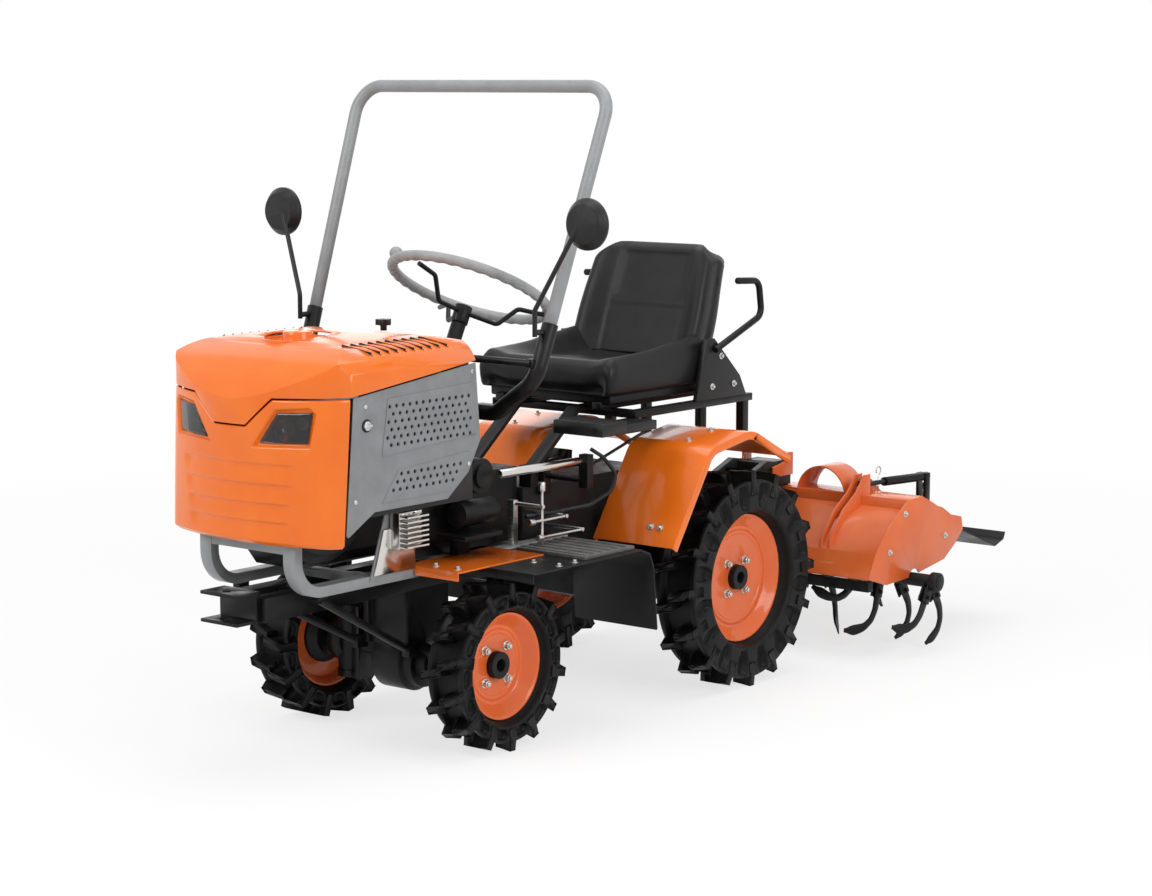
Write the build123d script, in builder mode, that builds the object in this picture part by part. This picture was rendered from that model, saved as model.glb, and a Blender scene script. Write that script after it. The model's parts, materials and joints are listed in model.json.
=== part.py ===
from build123d import *
import os
from math import cos, radians, sin

os.makedirs("parts", exist_ok=True)

# Ride-on cultivator: a small four-wheel-drive tractor with a rotary tiller behind it.
# Millimetres. X = 0 is the middle plane, +X is the driver's left, the front is towards -Y,
# Z = 0 is the ground under the tyre lugs.

# Driving dimensions
LENGTH = 2780.0                     # from the front drawbar bracket to the levelling board's lip
FRONT_OVERHANG = 640.0              # drawbar bracket ahead of the front axle
WHEELBASE = 938.0
F = -LENGTH / 2 + FRONT_OVERHANG    # y of the front axle
R = F + WHEELBASE                   # y of the rear axle

FRONT_WHEEL = dict(y=F, tip=207.5, ring=186.0, tread=168.0, bead=126.0, rim_x=325.0, rim_r=132.0,
                   rim_width=64.0, inner_x=236.0, outer_x=349.0, dish=32.0, lugs=14)
REAR_WHEEL = dict(y=R, tip=292.0, ring=268.0, tread=246.0, bead=166.0, rim_x=366.0, rim_r=173.0,
                  rim_width=72.0, inner_x=275.0, outer_x=401.0, dish=24.0, lugs=16)
WHEEL_BOLT_CIRCLE = 114.3
WHEEL_BOLTS = 4
WHEEL_BOLT_R = 6.5
HUB_R = 33.0
HUB_BORE_R = 16.0
LUG_THICKNESS = 20.0
LUG_SLANT = 16.0                    # how far a lug leans round the tyre across its width
SHOULDER = 17.0                     # width of the ring that closes the windows over each sidewall
WINDOW_DEPTH = 11.0

KINGPIN_X = 190.0
STEER_ARM = 90.0

RAIL_Z = 440.0                      # centre height of the grey side rails
RAIL_X = 138.0
TUBE_W, TUBE_D = 37.0, 25.0
FLOOR_Z = RAIL_Z + TUBE_D / 2        # the orange foot plates lie on the rails
PLATE_T = 4.0

BONNET_HALF = 285.0
BONNET_FRONT = F - 600.0
BONNET_REAR = F - 52.0
BONNET_TOP = 1026.0
NOSE_BOTTOM = 560.0
SEAM_GAP = 3.0
HINGE_Y, HINGE_Z, HINGE_R = F - 565.0, 570.0, 6.0   # the bonnet tilts about a pin low behind its nose

STEER_WHEEL_Y = F + 249.0
STEER_WHEEL_Z = 1096.0
STEER_WHEEL_R = 205.0
STEER_GRIP_R = 14.0
STEER_TILT = 26.7

HOOP_R = 16.0
HOOP_FOOT = (392.0, F + 92.0, 1038.0)
HOOP_TOP = (418.0, F + 300.0, 1603.0)
SLEEVE_R = 20.0

ROTOR_Y = F + 1604.0
ROTOR_Z = 205.0
ROTOR_SHAFT_R = 20.0
TINE_R = 195.0
HOOD_HALF = 492.0
HOOD_LIFT = 53.0                    # the tiller parks raised, so no tine reaches the ground
TILLER_PIVOT = (F + 1235.0, 395.0)


def save(builder, label):
    """Labels a finished piece and writes it to its own file."""
    builder.part.label = label
    export_step(builder.part, f"parts/{label}.step")


def save_pair(left, stem):
    """Writes a left-hand piece and its mirror image."""
    save(left, f"{stem}_left")
    with BuildPart() as right:
        mirror(left.part, about=Plane.YZ)
    save(right, f"{stem}_right")


def block(x0, x1, y0, y1, z0, z1):
    """Adds a plain block between two corners."""
    with Locations((x0, y0, z0)):
        Box(x1 - x0, y1 - y0, z1 - z0, align=(Align.MIN, Align.MIN, Align.MIN))


def plate(plane, points, thickness):
    """Adds a flat plate: a closed outline on a plane, thickened along the plane's normal."""
    with BuildSketch(plane) as outline:
        with BuildLine():
            Polyline(*points, close=True)
        make_face()
    extrude(outline.sketch, amount=thickness)


def rod(start, end, radius, mode=Mode.ADD):
    """Adds a round bar between two points."""
    along = Vector(*end) - Vector(*start)
    with BuildSketch(Plane(origin=start, z_dir=along)) as section:
        Circle(radius)
    extrude(section.sketch, amount=along.length, mode=mode)


def bent_tube(points, bends, radius):
    """Adds a round tube along straight runs joined by arcs."""
    with BuildLine() as path:
        FilletPolyline(*points, radius=bends)
    with BuildSketch(Plane(origin=path.line @ 0, z_dir=path.line % 0)) as section:
        Circle(radius)
    sweep(section.sketch, path=path.line)


def bent_bar(points, bends, width, depth):
    """Adds a flat tube along straight runs in a plane x = constant; width is along X."""
    with BuildLine() as path:
        FilletPolyline(*points, radius=bends)
    with BuildSketch(Plane(origin=path.line @ 0, x_dir=(1, 0, 0), z_dir=path.line % 0)) as section:
        Rectangle(width, depth)
    sweep(section.sketch, path=path.line)


def axle_plane(y, z):
    """A plane through a wheel's axle: its x is the row's X, its y is the height."""
    return Plane(origin=(0, y, z), x_dir=(1, 0, 0), z_dir=(0, -1, 0))


def spin_profile(points, y, z):
    """Adds a ring: a profile of (x, radius) points turned about the axle at (y, z)."""
    with BuildSketch(axle_plane(y, z)) as profile:
        with BuildLine():
            Polyline(*points, close=True)
        make_face()
    revolve(profile.sketch, axis=Axis((0, y, z), (1, 0, 0)))


# Wheels

def facet_prism(radius, x0, x1, sides, y, z, end_radius=None, mode=Mode.ADD):
    """Adds a many-sided prism about an axle, from x0 to x1, or a frustum when the end radius differs."""
    outlines = []
    for x, size in ((x0, radius), (x1, end_radius or radius)):
        with BuildSketch(Plane(origin=(x, y, z), x_dir=(0, 1, 0), z_dir=(1, 0, 0))) as outline:
            RegularPolygon(size, sides)
        outlines.append(outline.sketch)
    loft(sections=outlines, ruled=True, mode=mode)


WINDOW = [(-10, 0.0), (15, 0.05), (21, 0.95), (-20, 1.0)]    # across, share of the sidewall's height
BEAD_SEAT = 24.0                    # width of the tyre's seat on the rim, each side


def make_tyre(w):
    """A paddy tyre: a many-sided carcass with windows round each sidewall and two rows of tall lugs."""
    y, z, inner, outer = w["y"], w["tip"], w["inner_x"], w["outer_x"]
    sides, pitch = 2 * w["lugs"], 360 / w["lugs"]
    reach = (outer - inner) / 2 + 4
    half, low = LUG_THICKNESS / 2, w["tread"] - 12
    corner_side = (half + LUG_SLANT) * sin(radians(pitch / 2))
    tip = min(w["tip"], (w["tip"] - corner_side) / cos(radians(pitch / 2)))     # no corner under the ground
    axle = Axis((0, y, z), (1, 0, 0))
    bead_out, bead_in = w["rim_x"] - 5, w["rim_x"] - w["rim_width"] + 5
    with BuildPart() as tyre:
        facet_prism(w["ring"], inner, outer, sides, y, z)
        with BuildPart(mode=Mode.PRIVATE) as groove:
            facet_prism(w["ring"] + 20, inner + SHOULDER, outer - SHOULDER, sides, y, z)
            facet_prism(w["tread"], inner + SHOULDER, outer - SHOULDER, w["lugs"], y, z, mode=Mode.SUBTRACT)
        add(groove.part, mode=Mode.SUBTRACT)
        for start, end in ((inner, outer), (bead_out - BEAD_SEAT, outer), (bead_in + BEAD_SEAT, inner)):
            mouth = w["rim_r"] + 15 if start != inner else w["bead"] + 3
            facet_prism(w["bead"] + 3, start, end, w["lugs"], y, z, mouth, mode=Mode.SUBTRACT)
        foot, head = w["rim_r"] + 21, w["ring"] - 7
        for side, face, start in ((1, outer, 0), (-1, inner, pitch / 2)):
            if side == 1:                # the windows that show; the inner sidewall stays plain
                with BuildPart(mode=Mode.PRIVATE) as window:
                    plate(Plane(origin=(face, y, z), x_dir=(0, 1, 0), z_dir=(-1, 0, 0)),
                          [(across, -foot - share * (head - foot)) for across, share in WINDOW], WINDOW_DEPTH)
                add([window.part.rotate(axle, (number + 0.5) * pitch) for number in range(w["lugs"])],
                    mode=Mode.SUBTRACT)
            with BuildPart(mode=Mode.PRIVATE) as lug:
                plate(Plane(origin=(face, y, z - low), x_dir=(-side, 0, 0), z_dir=(0, 0, -1)),
                      [(0, -half), (0, half), (reach, half + LUG_SLANT), (reach, LUG_SLANT - half)], tip - low)
            add([lug.part.rotate(axle, start + number * pitch) for number in range(w["lugs"])])
    return tyre


def make_rim(w):
    """A pressed disc wheel: flanges, barrel and a dished disc with stepped rings and bolt holes."""
    y, z, x = w["y"], w["tip"], w["rim_x"]
    r, bead, back = w["rim_r"], w["bead"] - 0.5, w["rim_x"] - w["rim_width"]
    face = x - w["dish"]
    with BuildPart() as rim:
        spin_profile([(x, r), (x, r - 5), (x - 6, bead - 4), (face + 4, bead - 24), (face, bead - 28),
                      (face, bead - 36), (face + 3, bead - 39), (face + 3, bead - 47), (face, bead - 50),
                      (face, HUB_R), (face - 5, HUB_R), (face - 5, bead - 24), (face - 2, bead - 16),
                      (back + 4, bead - 4), (back, r - 5), (back, r), (back + 4, r),
                      (back + 4, bead), (x - 4, bead), (x - 4, r)], y, z)
        with Locations(Plane(origin=(face + 4, y, z), x_dir=(0, 1, 0), z_dir=(1, 0, 0))):
            with PolarLocations(WHEEL_BOLT_CIRCLE / 2, WHEEL_BOLTS, start_angle=45):
                Hole(WHEEL_BOLT_R, depth=14)
    return rim


def make_hub(w, inner):
    """A hub and half shaft: the black cap in the disc's hole, its flange and the shaft behind."""
    y, z = w["y"], w["tip"]
    face = w["rim_x"] - w["dish"]
    with BuildPart() as hub:
        spin_profile([(inner, 0), (inner, 19), (face - 40, 19), (face - 40, 50), (face - 30, 50),
                      (face - 14, 72), (face - 5, 72), (face - 5, HUB_R), (face + 18, HUB_R),
                      (face + 18, HUB_BORE_R), (face - 20, HUB_BORE_R), (face - 20, 0)], y, z)
    return hub


KNUCKLE_FACE = 233.0
REAR_FLANGE_X = 262.0
for wheel, name, shaft_end in ((FRONT_WHEEL, "front", KNUCKLE_FACE + 0.3), (REAR_WHEEL, "rear", REAR_FLANGE_X + 0.3)):
    save_pair(make_tyre(wheel), f"tyre_{name}")
    save_pair(make_rim(wheel), f"rim_{name}")
    save_pair(make_hub(wheel, shaft_end), f"hub_{name}")


# Front axle, knuckles and tie rod

AXLE_Z = FRONT_WHEEL["tip"]
FRAME_LOW = 372.0                   # underside of the main frame's two beams
EAR_TOP, EAR_LOW, EAR_T, EAR_R = 283.0, 132.0, 18.0, 36.0
PIN_R, PIN_CLEAR = 14.0, 0.05

with BuildPart() as front_axle:
    spin_profile([(-62, 0), (-62, 58), (-50, 75), (38, 75), (46, 62), (70, 62), (70, 44), (96, 40),
                  (96, 0)], F, AXLE_Z - 26)
    for side in (1, -1):
        rod((side * 60, F, AXLE_Z), (side * 140, F, AXLE_Z), 30)
        block(*sorted((side * 132, side * 152)), F - 34, F + 34, EAR_LOW - EAR_T, EAR_TOP + EAR_T)
        for low in (EAR_TOP, EAR_LOW - EAR_T):
            with BuildSketch(Plane.XY.offset(low)) as ear:
                with Locations((side * KINGPIN_X, F)):
                    Circle(EAR_R)
                with Locations((side * (KINGPIN_X + 140) / 2, F)):
                    Rectangle(KINGPIN_X - 140, 56)
                with Locations((side * KINGPIN_X, F)):
                    Circle(PIN_R + PIN_CLEAR, mode=Mode.SUBTRACT)
            extrude(ear.sketch, amount=EAR_T)
    block(-65, 65, F - 60, F + 60, AXLE_Z + 20, FRAME_LOW)
    for x in (-75, 59):
        block(x, x + 16, F - 75, F + 75, AXLE_Z + 20, FRAME_LOW)
save(front_axle, "front_axle")

with BuildPart() as knuckle:
    rod((KINGPIN_X, F, EAR_LOW + 1), (KINGPIN_X, F, EAR_TOP - 1), 34)
    rod((KINGPIN_X, F, EAR_LOW - EAR_T), (KINGPIN_X, F, EAR_TOP + EAR_T), PIN_R)
    spin_profile([(KINGPIN_X, 0), (KINGPIN_X, 44), (206, 56), (224, 56), (KNUCKLE_FACE, 40),
                  (KNUCKLE_FACE, 0)], F, AXLE_Z)
    plate(Plane.XY.offset(168), [(KINGPIN_X - 16, F), (KINGPIN_X - 12, F + STEER_ARM + 10),
                                 (KINGPIN_X + 12, F + STEER_ARM + 10), (KINGPIN_X + 16, F)], 12)
save_pair(knuckle, "knuckle")

with BuildPart() as tie_rod:
    rod((-KINGPIN_X, F + STEER_ARM, 150), (KINGPIN_X, F + STEER_ARM, 150), 8)
    for side in (1, -1):
        rod((side * KINGPIN_X, F + STEER_ARM, 140), (side * KINGPIN_X, F + STEER_ARM, 160), 15)
save(tie_rod, "tie_rod")


# Main frame and the grey front loops

with BuildPart() as main_frame:
    for x in (-74, 30):
        block(x, x + 44, F - 562, F + 330, FRAME_LOW, 430)
    for y in (-560, -420, -200, 290):
        block(-30, 30, F + y, F + y + 40, 376, 426)
    for side in (1, -1):
        rod((side * 130, F - 440, 415), (side * 86, F - 84, 228), 10)
        block(*sorted((side * 120, side * 142)), F - 456, F - 424, 413, RAIL_Z - TUBE_D / 2)
        block(*sorted((side * 75, side * 99)), F - 98, F - 60, 214, 244)
save(main_frame, "main_frame")

DRAWBAR_PIN_R = 10.5
with BuildPart() as front_hitch:
    plate(Plane.YZ.offset(-60), [(F - 640, 372), (F - 640, 380), (F - 578, 380), (F - 578, 438),
                                 (F - 640, 438), (F - 640, 446), (F - 562, 446), (F - 562, 372)], 120)
    with Locations(Plane.XY.offset(446)):
        with Locations((0, F - 612)):
            Hole(DRAWBAR_PIN_R, depth=80)
save(front_hitch, "front_hitch")

with BuildPart() as loop_frame:
    for side in (1, -1):
        x = side * RAIL_X
        bent_bar([(x, F - 534, 640), (x, F - 534, RAIL_Z), (x, F + 450, RAIL_Z)], 78, TUBE_W, TUBE_D)
        plate(Plane.YZ.offset(x + side * TUBE_W / 2 - (0 if side == 1 else 4)),
              [(F - 300, 440), (F - 262, 440), (F - 212, 600), (F - 245, 600)], 4)
    block(-RAIL_X, RAIL_X, F - 545, F - 523, 536, 566)
    rod((-86, HINGE_Y, HINGE_Z), (86, HINGE_Y, HINGE_Z), HINGE_R)
    for x in (-68, 56):
        block(x, x + 12, HINGE_Y - 6, F - 530, 561, 577)
    for y in (-300, 20, 280):
        block(-RAIL_X, RAIL_X, F + y, F + y + 40, 431, 449)
save(loop_frame, "loop_frame")


# Engine and what shows round it

with BuildPart() as engine_block:
    block(-150, 55, F - 400, F - 60, 470, 860)
    chamfer(engine_block.edges().filter_by(Axis.Y), 30)
save(engine_block, "engine_block")

with BuildPart() as fan_shroud:
    spin_profile([(55, 0), (55, 155), (90, 155), (112, 132), (112, 50), (104, 0)], F - 385, 645)
save(fan_shroud, "fan_shroud")

with BuildPart() as regulator_plate:
    plate(Plane.YZ.offset(162), [(F - 290, FLOOR_Z), (F - 146, FLOOR_Z), (F - 146, 560), (F - 256, 560)], 4)
    block(RAIL_X - 16, 163, F - 200, F - 170, FLOOR_Z, 480)
    block(166, 196, F - 235, F - 155, 512, 600)
    for row in range(7):
        block(196, 222, F - 233, F - 157, 516 + row * 12, 521 + row * 12)
save(regulator_plate, "regulator_plate")


# Transmission and rear axle

with BuildPart() as transmission:
    block(-85, 85, F - 58, F + 330, 452, 640)
    plate(Plane.YZ.offset(-105), [(F + 330, 330), (F + 330, 585), (R - 80, 585), (R + 40, 520),
                                  (R + 190, 520), (R + 190, 230), (R - 120, 200)], 210)
    for side in (1, -1):
        rod((side * 100, R, REAR_WHEEL["tip"]), (side * 225, R, REAR_WHEEL["tip"]), 52)
        rod((side * 225, R, REAR_WHEEL["tip"]), (side * REAR_FLANGE_X, R, REAR_WHEEL["tip"]), 78)
save(transmission, "transmission")


# Steering column, dash frame and roll hoop

with BuildPart() as dash_frame:
    for side in (1, -1):
        block(side * 110 - 15, side * 110 + 15, F + 60, F + 100, 453, 930)
    block(-125, 125, F + 60, F + 100, 900, 930)
    block(-125, 125, F + 60, F + 100, 650, 680)
    block(-100, 100, F + 10, F + 64, 660, 896)
save(dash_frame, "dash_frame")

tilt = radians(STEER_TILT)


def wheel_direction(turn):
    """A direction in the steering wheel's plane; 90 points forwards and up."""
    return Vector(cos(radians(turn)), -sin(radians(turn)) * cos(tilt), sin(radians(turn)) * sin(tilt))


column_dir = Vector(0, sin(tilt), cos(tilt))
wheel_centre = Vector(0, STEER_WHEEL_Y, STEER_WHEEL_Z)
BOSS_DROP = 95.0
boss_low = wheel_centre - column_dir * BOSS_DROP
column_top = boss_low - column_dir * 0.4
column_foot = boss_low - column_dir * 150
with BuildPart() as steering_column:
    rod(tuple(column_foot), tuple(column_top), 19)
    block(-40, 40, F + 100, column_foot.Y + 30, column_foot.Z - 20, column_foot.Z + 30)
save(steering_column, "steering_column")

with BuildPart() as steering_spokes:
    rod(tuple(boss_low), tuple(boss_low + column_dir * 45), 22)
    for turn in (90, 210, 330):
        out = wheel_direction(turn)
        start = boss_low + column_dir * 30
        knee = boss_low + column_dir * 20 + out * 95
        rise = wheel_centre - column_dir * 22 + out * 135
        tip = wheel_centre - column_dir * 20 + out * (STEER_WHEEL_R - 2)
        bent_tube([tuple(start), tuple(knee), tuple(rise), tuple(tip)], 16, 6)
save(steering_spokes, "steering_spokes")

with BuildPart() as steering_rim:
    with Locations(Plane(origin=wheel_centre, x_dir=(1, 0, 0), z_dir=column_dir)):
        Torus(STEER_WHEEL_R, STEER_GRIP_R)
    knob = wheel_centre + wheel_direction(140) * STEER_WHEEL_R + column_dir * 8
    rod(tuple(knob), tuple(knob + column_dir * 55), 14)
save(steering_rim, "steering_rim")

with BuildPart() as roll_hoop:
    foot_l, top_l = HOOP_FOOT, HOOP_TOP
    foot_r, top_r = (-foot_l[0], *foot_l[1:]), (-top_l[0], *top_l[1:])
    bent_tube([foot_l, top_l, top_r, foot_r], 72, HOOP_R)
save(roll_hoop, "roll_hoop")

with BuildPart() as hoop_base:
    for side in (1, -1):
        top = Vector(side * HOOP_FOOT[0], HOOP_FOOT[1], HOOP_FOOT[2])
        hoop_lean = (Vector(side * HOOP_TOP[0], HOOP_TOP[1], HOOP_TOP[2]) - top).normalized()
        knee = top - hoop_lean * 140
        bent_tube([tuple(top), tuple(knee), (side * 230, F + 80, 812), (side * 125, F + 80, 812)], [60, 60], SLEEVE_R)
    rod((-380, F + 34, 948), (380, F + 34, 948), 9)
    for side in (1, -1):
        block(*sorted((side * 368, side * 388)), F + 30, F + 60, 938, 958)
save(hoop_base, "hoop_base")

MIRROR_R = 62.0
with BuildPart() as mirrors:
    for side in (1, -1):
        rod((side * 392, F + 85, 1022), (side * 391, F + 35, 1022), 7)
        foot = Vector(side * HOOP_FOOT[0], HOOP_FOOT[1], HOOP_FOOT[2])
        hoop_lean = (Vector(side * HOOP_TOP[0], HOOP_TOP[1], HOOP_TOP[2]) - foot).normalized()
        rod(tuple(foot), tuple(foot - hoop_lean * 60), SLEEVE_R, mode=Mode.SUBTRACT)
        bent_tube([(side * 391, F + 35, 1012), (side * 391, F + 35, 1075), (side * 496, F + 80, 1290)], 20, 6)
        face = Plane(origin=(side * 504, F + 98, 1281), x_dir=(1, 0, 0), z_dir=(0, -1, 0))
        with BuildSketch(face) as back:
            Circle(MIRROR_R)
        extrude(back.sketch, amount=8)
        with BuildSketch(face.offset(8)) as crown:
            Circle(MIRROR_R)
        extrude(crown.sketch, amount=18, taper=40)
save(mirrors, "mirrors")


# Bonnet: tilting top and nose, lamps and hold-down knob; fixed side panels

SHEET = 4.0
SEAM = [(-320, 905), (-125, 900), (-52, 835), (52, 835), (125, 900), (320, 905)]
CORNER_X = 60.0                     # how far in from each side the nose's corner arc starts


def bonnet_plan(half, front, back, inset):
    """The bonnet's plan: straight sides, a round corner each side and a long arc across the front."""
    side_x, nose_x = half - inset, half - CORNER_X - inset * 0.7
    side_y, nose_y = front + 156 + inset * 0.3, front + 56 + inset * 0.8
    with BuildLine() as outline:
        Polyline((-side_x, side_y), (-side_x, back), (side_x, back), (side_x, side_y))
        for side in (1, -1):
            TangentArc((side * side_x, side_y), (side * nose_x, nose_y), tangent=(0, -1))
        ThreePointArc((nose_x, nose_y), (0, front + inset), (-nose_x, nose_y))
    return outline.edges()


def cowl(inset):
    """Adds the bonnet's outer form, or its inner form when inset: plan, side and front views crossed."""
    with BuildSketch(Plane.XY.offset(800)) as plan:
        make_face(bonnet_plan(BONNET_HALF, BONNET_FRONT, BONNET_REAR, inset))
    extrude(plan.sketch, amount=260)
    with BuildSketch(Plane.YZ.offset(-300)) as side_view:
        with BuildLine():
            Polyline((BONNET_FRONT + inset, 897 - inset), (BONNET_FRONT + inset, 780), (BONNET_REAR, 780),
                     (BONNET_REAR, 1002 - inset))
            ThreePointArc((BONNET_REAR, 1002 - inset), (F - 200, 1024 - inset), (F - 345, BONNET_TOP - inset))
            ThreePointArc((F - 345, BONNET_TOP - inset), (F - 505 + inset / 2, 985 - inset),
                          (BONNET_FRONT + inset, 897 - inset))
        make_face()
    extrude(side_view.sketch, amount=600, mode=Mode.INTERSECT)
    with BuildSketch(Plane.XZ.offset(-BONNET_REAR - 1)) as front_view:
        with BuildLine():
            Polyline((BONNET_HALF - inset, 940 - inset), (BONNET_HALF - inset, 780), (-BONNET_HALF + inset, 780),
                     (-BONNET_HALF + inset, 940 - inset))
            ThreePointArc((-BONNET_HALF + inset, 940 - inset), (-262 + inset / 2, 984 - inset), (-200, 1012 - inset))
            ThreePointArc((-200, 1012 - inset), (0, BONNET_TOP + 6 - inset), (200, 1012 - inset))
            ThreePointArc((200, 1012 - inset), (262 - inset / 2, 984 - inset), (BONNET_HALF - inset, 940 - inset))
        make_face()
    extrude(front_view.sketch, amount=600, mode=Mode.INTERSECT)


CAP_Y = F - 367.0                   # the filler's place in the crown of the bonnet
DISH_R, DISH_Z = 84.0, 1007.0
LOUVRES = 10
LOUVRE_FIRST, LOUVRE_PITCH = F - 402.0, 29.0
with BuildPart() as bonnet_top:
    cowl(0)
    with BuildPart(mode=Mode.PRIVATE) as cowl_inside:
        cowl(SHEET)
    add(cowl_inside.part, mode=Mode.SUBTRACT)
    with BuildSketch(Plane.YZ.offset(-300)) as below:
        with BuildLine():
            Polyline((F - 476, 700), (BONNET_REAR + 5, 700), (BONNET_REAR + 5, 957), (F - 476, 908), close=True)
        make_face()
    extrude(below.sketch, amount=600, mode=Mode.SUBTRACT)
    with BuildSketch(Plane.XZ.offset(-(F - 476))) as under_seam:
        with BuildLine():
            Polyline(*[(x, z + SEAM_GAP) for x, z in SEAM], (320, 700), (-320, 700), close=True)
        make_face()
    extrude(under_seam.sketch, amount=200, mode=Mode.SUBTRACT)
    with BuildSketch(Plane.XY.offset(940)) as slots:
        for side in (1, -1):
            for number in range(LOUVRES):
                with Locations((side * 222, LOUVRE_FIRST + number * LOUVRE_PITCH)):
                    Rectangle(76, 5.5, rotation=side * 32)
    extrude(slots.sketch, amount=100, mode=Mode.SUBTRACT)
    rod((0, CAP_Y, DISH_Z + 4), (0, CAP_Y, BONNET_TOP + 10), DISH_R - SHEET, mode=Mode.SUBTRACT)
    with BuildSketch(Plane.XY.offset(DISH_Z)) as dish:
        with Locations((0, CAP_Y)):
            Circle(DISH_R)
    extrude(dish.sketch, amount=SHEET)
    with BuildSketch(Plane.XY.offset(DISH_Z)) as dish_wall:
        with Locations((0, CAP_Y)):
            Circle(DISH_R)
            Circle(DISH_R - SHEET, mode=Mode.SUBTRACT)
    extrude(dish_wall.sketch, amount=10)
    with BuildSketch(Plane.XY.offset(DISH_Z)) as cap:
        with Locations((0, CAP_Y)):
            Circle(40)
    extrude(cap.sketch, amount=26, taper=12)
    for side in (1, -1):
        block(*sorted((side * 150, side * 170)), BONNET_REAR - 12, BONNET_REAR, 985, 1006)
save(bonnet_top, "bonnet_top")


def nose_form(inset):
    """Adds the nose's solid form: narrower at the foot, round at its two corners."""
    sections = []
    for height, half, front in ((NOSE_BOTTOM, 266, BONNET_FRONT + 14), (915, BONNET_HALF - 1, BONNET_FRONT)):
        with BuildSketch(Plane.XY.offset(height)) as section:
            make_face(bonnet_plan(half, front, F - 400, inset))
        sections.append(section.sketch)
    loft(sections=sections, ruled=True)


LAMP = [(88, 799), (206, 802), (218, 866), (210, 873), (138, 867)]
POCKET_EDGE, POCKET_DEPTH = 13.0, 6.0
SWAGES = [(742, 176), (692, 166), (646, 158)]       # height and half length of each crease across the nose


def lamp_prism(clearance):
    """Adds both lamp outlines as prisms through the nose."""
    for side in (1, -1):
        with BuildSketch(Plane.XZ.offset(-(F - 470))) as lamp:
            with BuildLine():
                Polyline(*[(side * x, z) for x, z in LAMP], close=True)
            make_face()
            if clearance:
                offset(amount=clearance, kind=Kind.INTERSECTION)
        extrude(lamp.sketch, amount=160)


def nose_skin(outer, inner, edge, hole=None):
    """Makes the layer of the nose between two insets, inside the lamp outlines widened by edge."""
    with BuildPart(mode=Mode.PRIVATE) as core:
        nose_form(inner)
    with BuildPart(mode=Mode.PRIVATE) as window:
        lamp_prism(edge)
    with BuildPart(mode=Mode.PRIVATE) as layer:
        nose_form(outer)
        add(core.part, mode=Mode.SUBTRACT)
        add(window.part, mode=Mode.INTERSECT)
        if hole is not None:
            with BuildPart(mode=Mode.PRIVATE) as gap:
                lamp_prism(hole)
            add(gap.part, mode=Mode.SUBTRACT)
    return layer.part


with BuildPart() as bonnet_nose:
    nose_form(0)
    with BuildPart(mode=Mode.PRIVATE) as nose_inside:
        nose_form(SHEET)
    add(nose_inside.part, mode=Mode.SUBTRACT)
    with BuildSketch(Plane.XZ.offset(-(F - 350))) as over_seam:
        with BuildLine():
            Polyline(*SEAM, (320, 1100), (-320, 1100), close=True)
        make_face()
    extrude(over_seam.sketch, amount=400, mode=Mode.SUBTRACT)
    with BuildSketch(Plane.YZ.offset(-320)) as behind:
        with BuildLine():
            Polyline((F - 505, 500), (F - 505, 577), (F - 476, 1000), (F - 300, 1000), (F - 300, 500), close=True)
        make_face()
    extrude(behind.sketch, amount=640, mode=Mode.SUBTRACT)
    with BuildPart(mode=Mode.PRIVATE) as creases:
        nose_form(-2)
        with BuildPart(mode=Mode.PRIVATE) as crease_core:
            nose_form(1.6)
        add(crease_core.part, mode=Mode.SUBTRACT)
        with BuildPart(mode=Mode.PRIVATE) as slabs:
            for height, half in SWAGES:
                block(-half, half, F - 700, F - 500, height, height + 7)
        add(slabs.part, mode=Mode.INTERSECT)
    add(creases.part, mode=Mode.SUBTRACT)
    with BuildPart(mode=Mode.PRIVATE) as lamp_holes:
        lamp_prism(POCKET_EDGE)
    add(lamp_holes.part, mode=Mode.SUBTRACT)
    add(nose_skin(0, POCKET_DEPTH + SHEET, POCKET_EDGE + SHEET, POCKET_EDGE))
    add(nose_skin(POCKET_DEPTH, POCKET_DEPTH + SHEET, POCKET_EDGE + 1, 0.6))
    for side in (1, -1):
        for x in (40, 70):
            block(*sorted((side * x, side * (x + 14))), F - 580, HINGE_Y, HINGE_Z - 7, HINGE_Z + 7)
            rod((side * x, HINGE_Y, HINGE_Z), (side * (x + 14), HINGE_Y, HINGE_Z), HINGE_R + 4)
            rod((side * x, HINGE_Y, HINGE_Z), (side * (x + 14), HINGE_Y, HINGE_Z), HINGE_R + 0.05, mode=Mode.SUBTRACT)
save(bonnet_nose, "bonnet_nose")

with BuildPart() as headlamps:
    add(nose_skin(POCKET_DEPTH - 1, POCKET_DEPTH + 14, 0))
save(headlamps, "headlamps")

KNOB_Y = F - 72.0
with BuildPart() as bonnet_knob:
    rod((0, KNOB_Y, 1012.5), (0, KNOB_Y, 1026), 8)
    with BuildSketch(Plane.XY.offset(1026)) as star:
        with Locations((0, KNOB_Y)):
            Circle(13)
            with PolarLocations(13, 5):
                Circle(7)
    extrude(star.sketch, amount=14)
save(bonnet_knob, "bonnet_knob")

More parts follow.
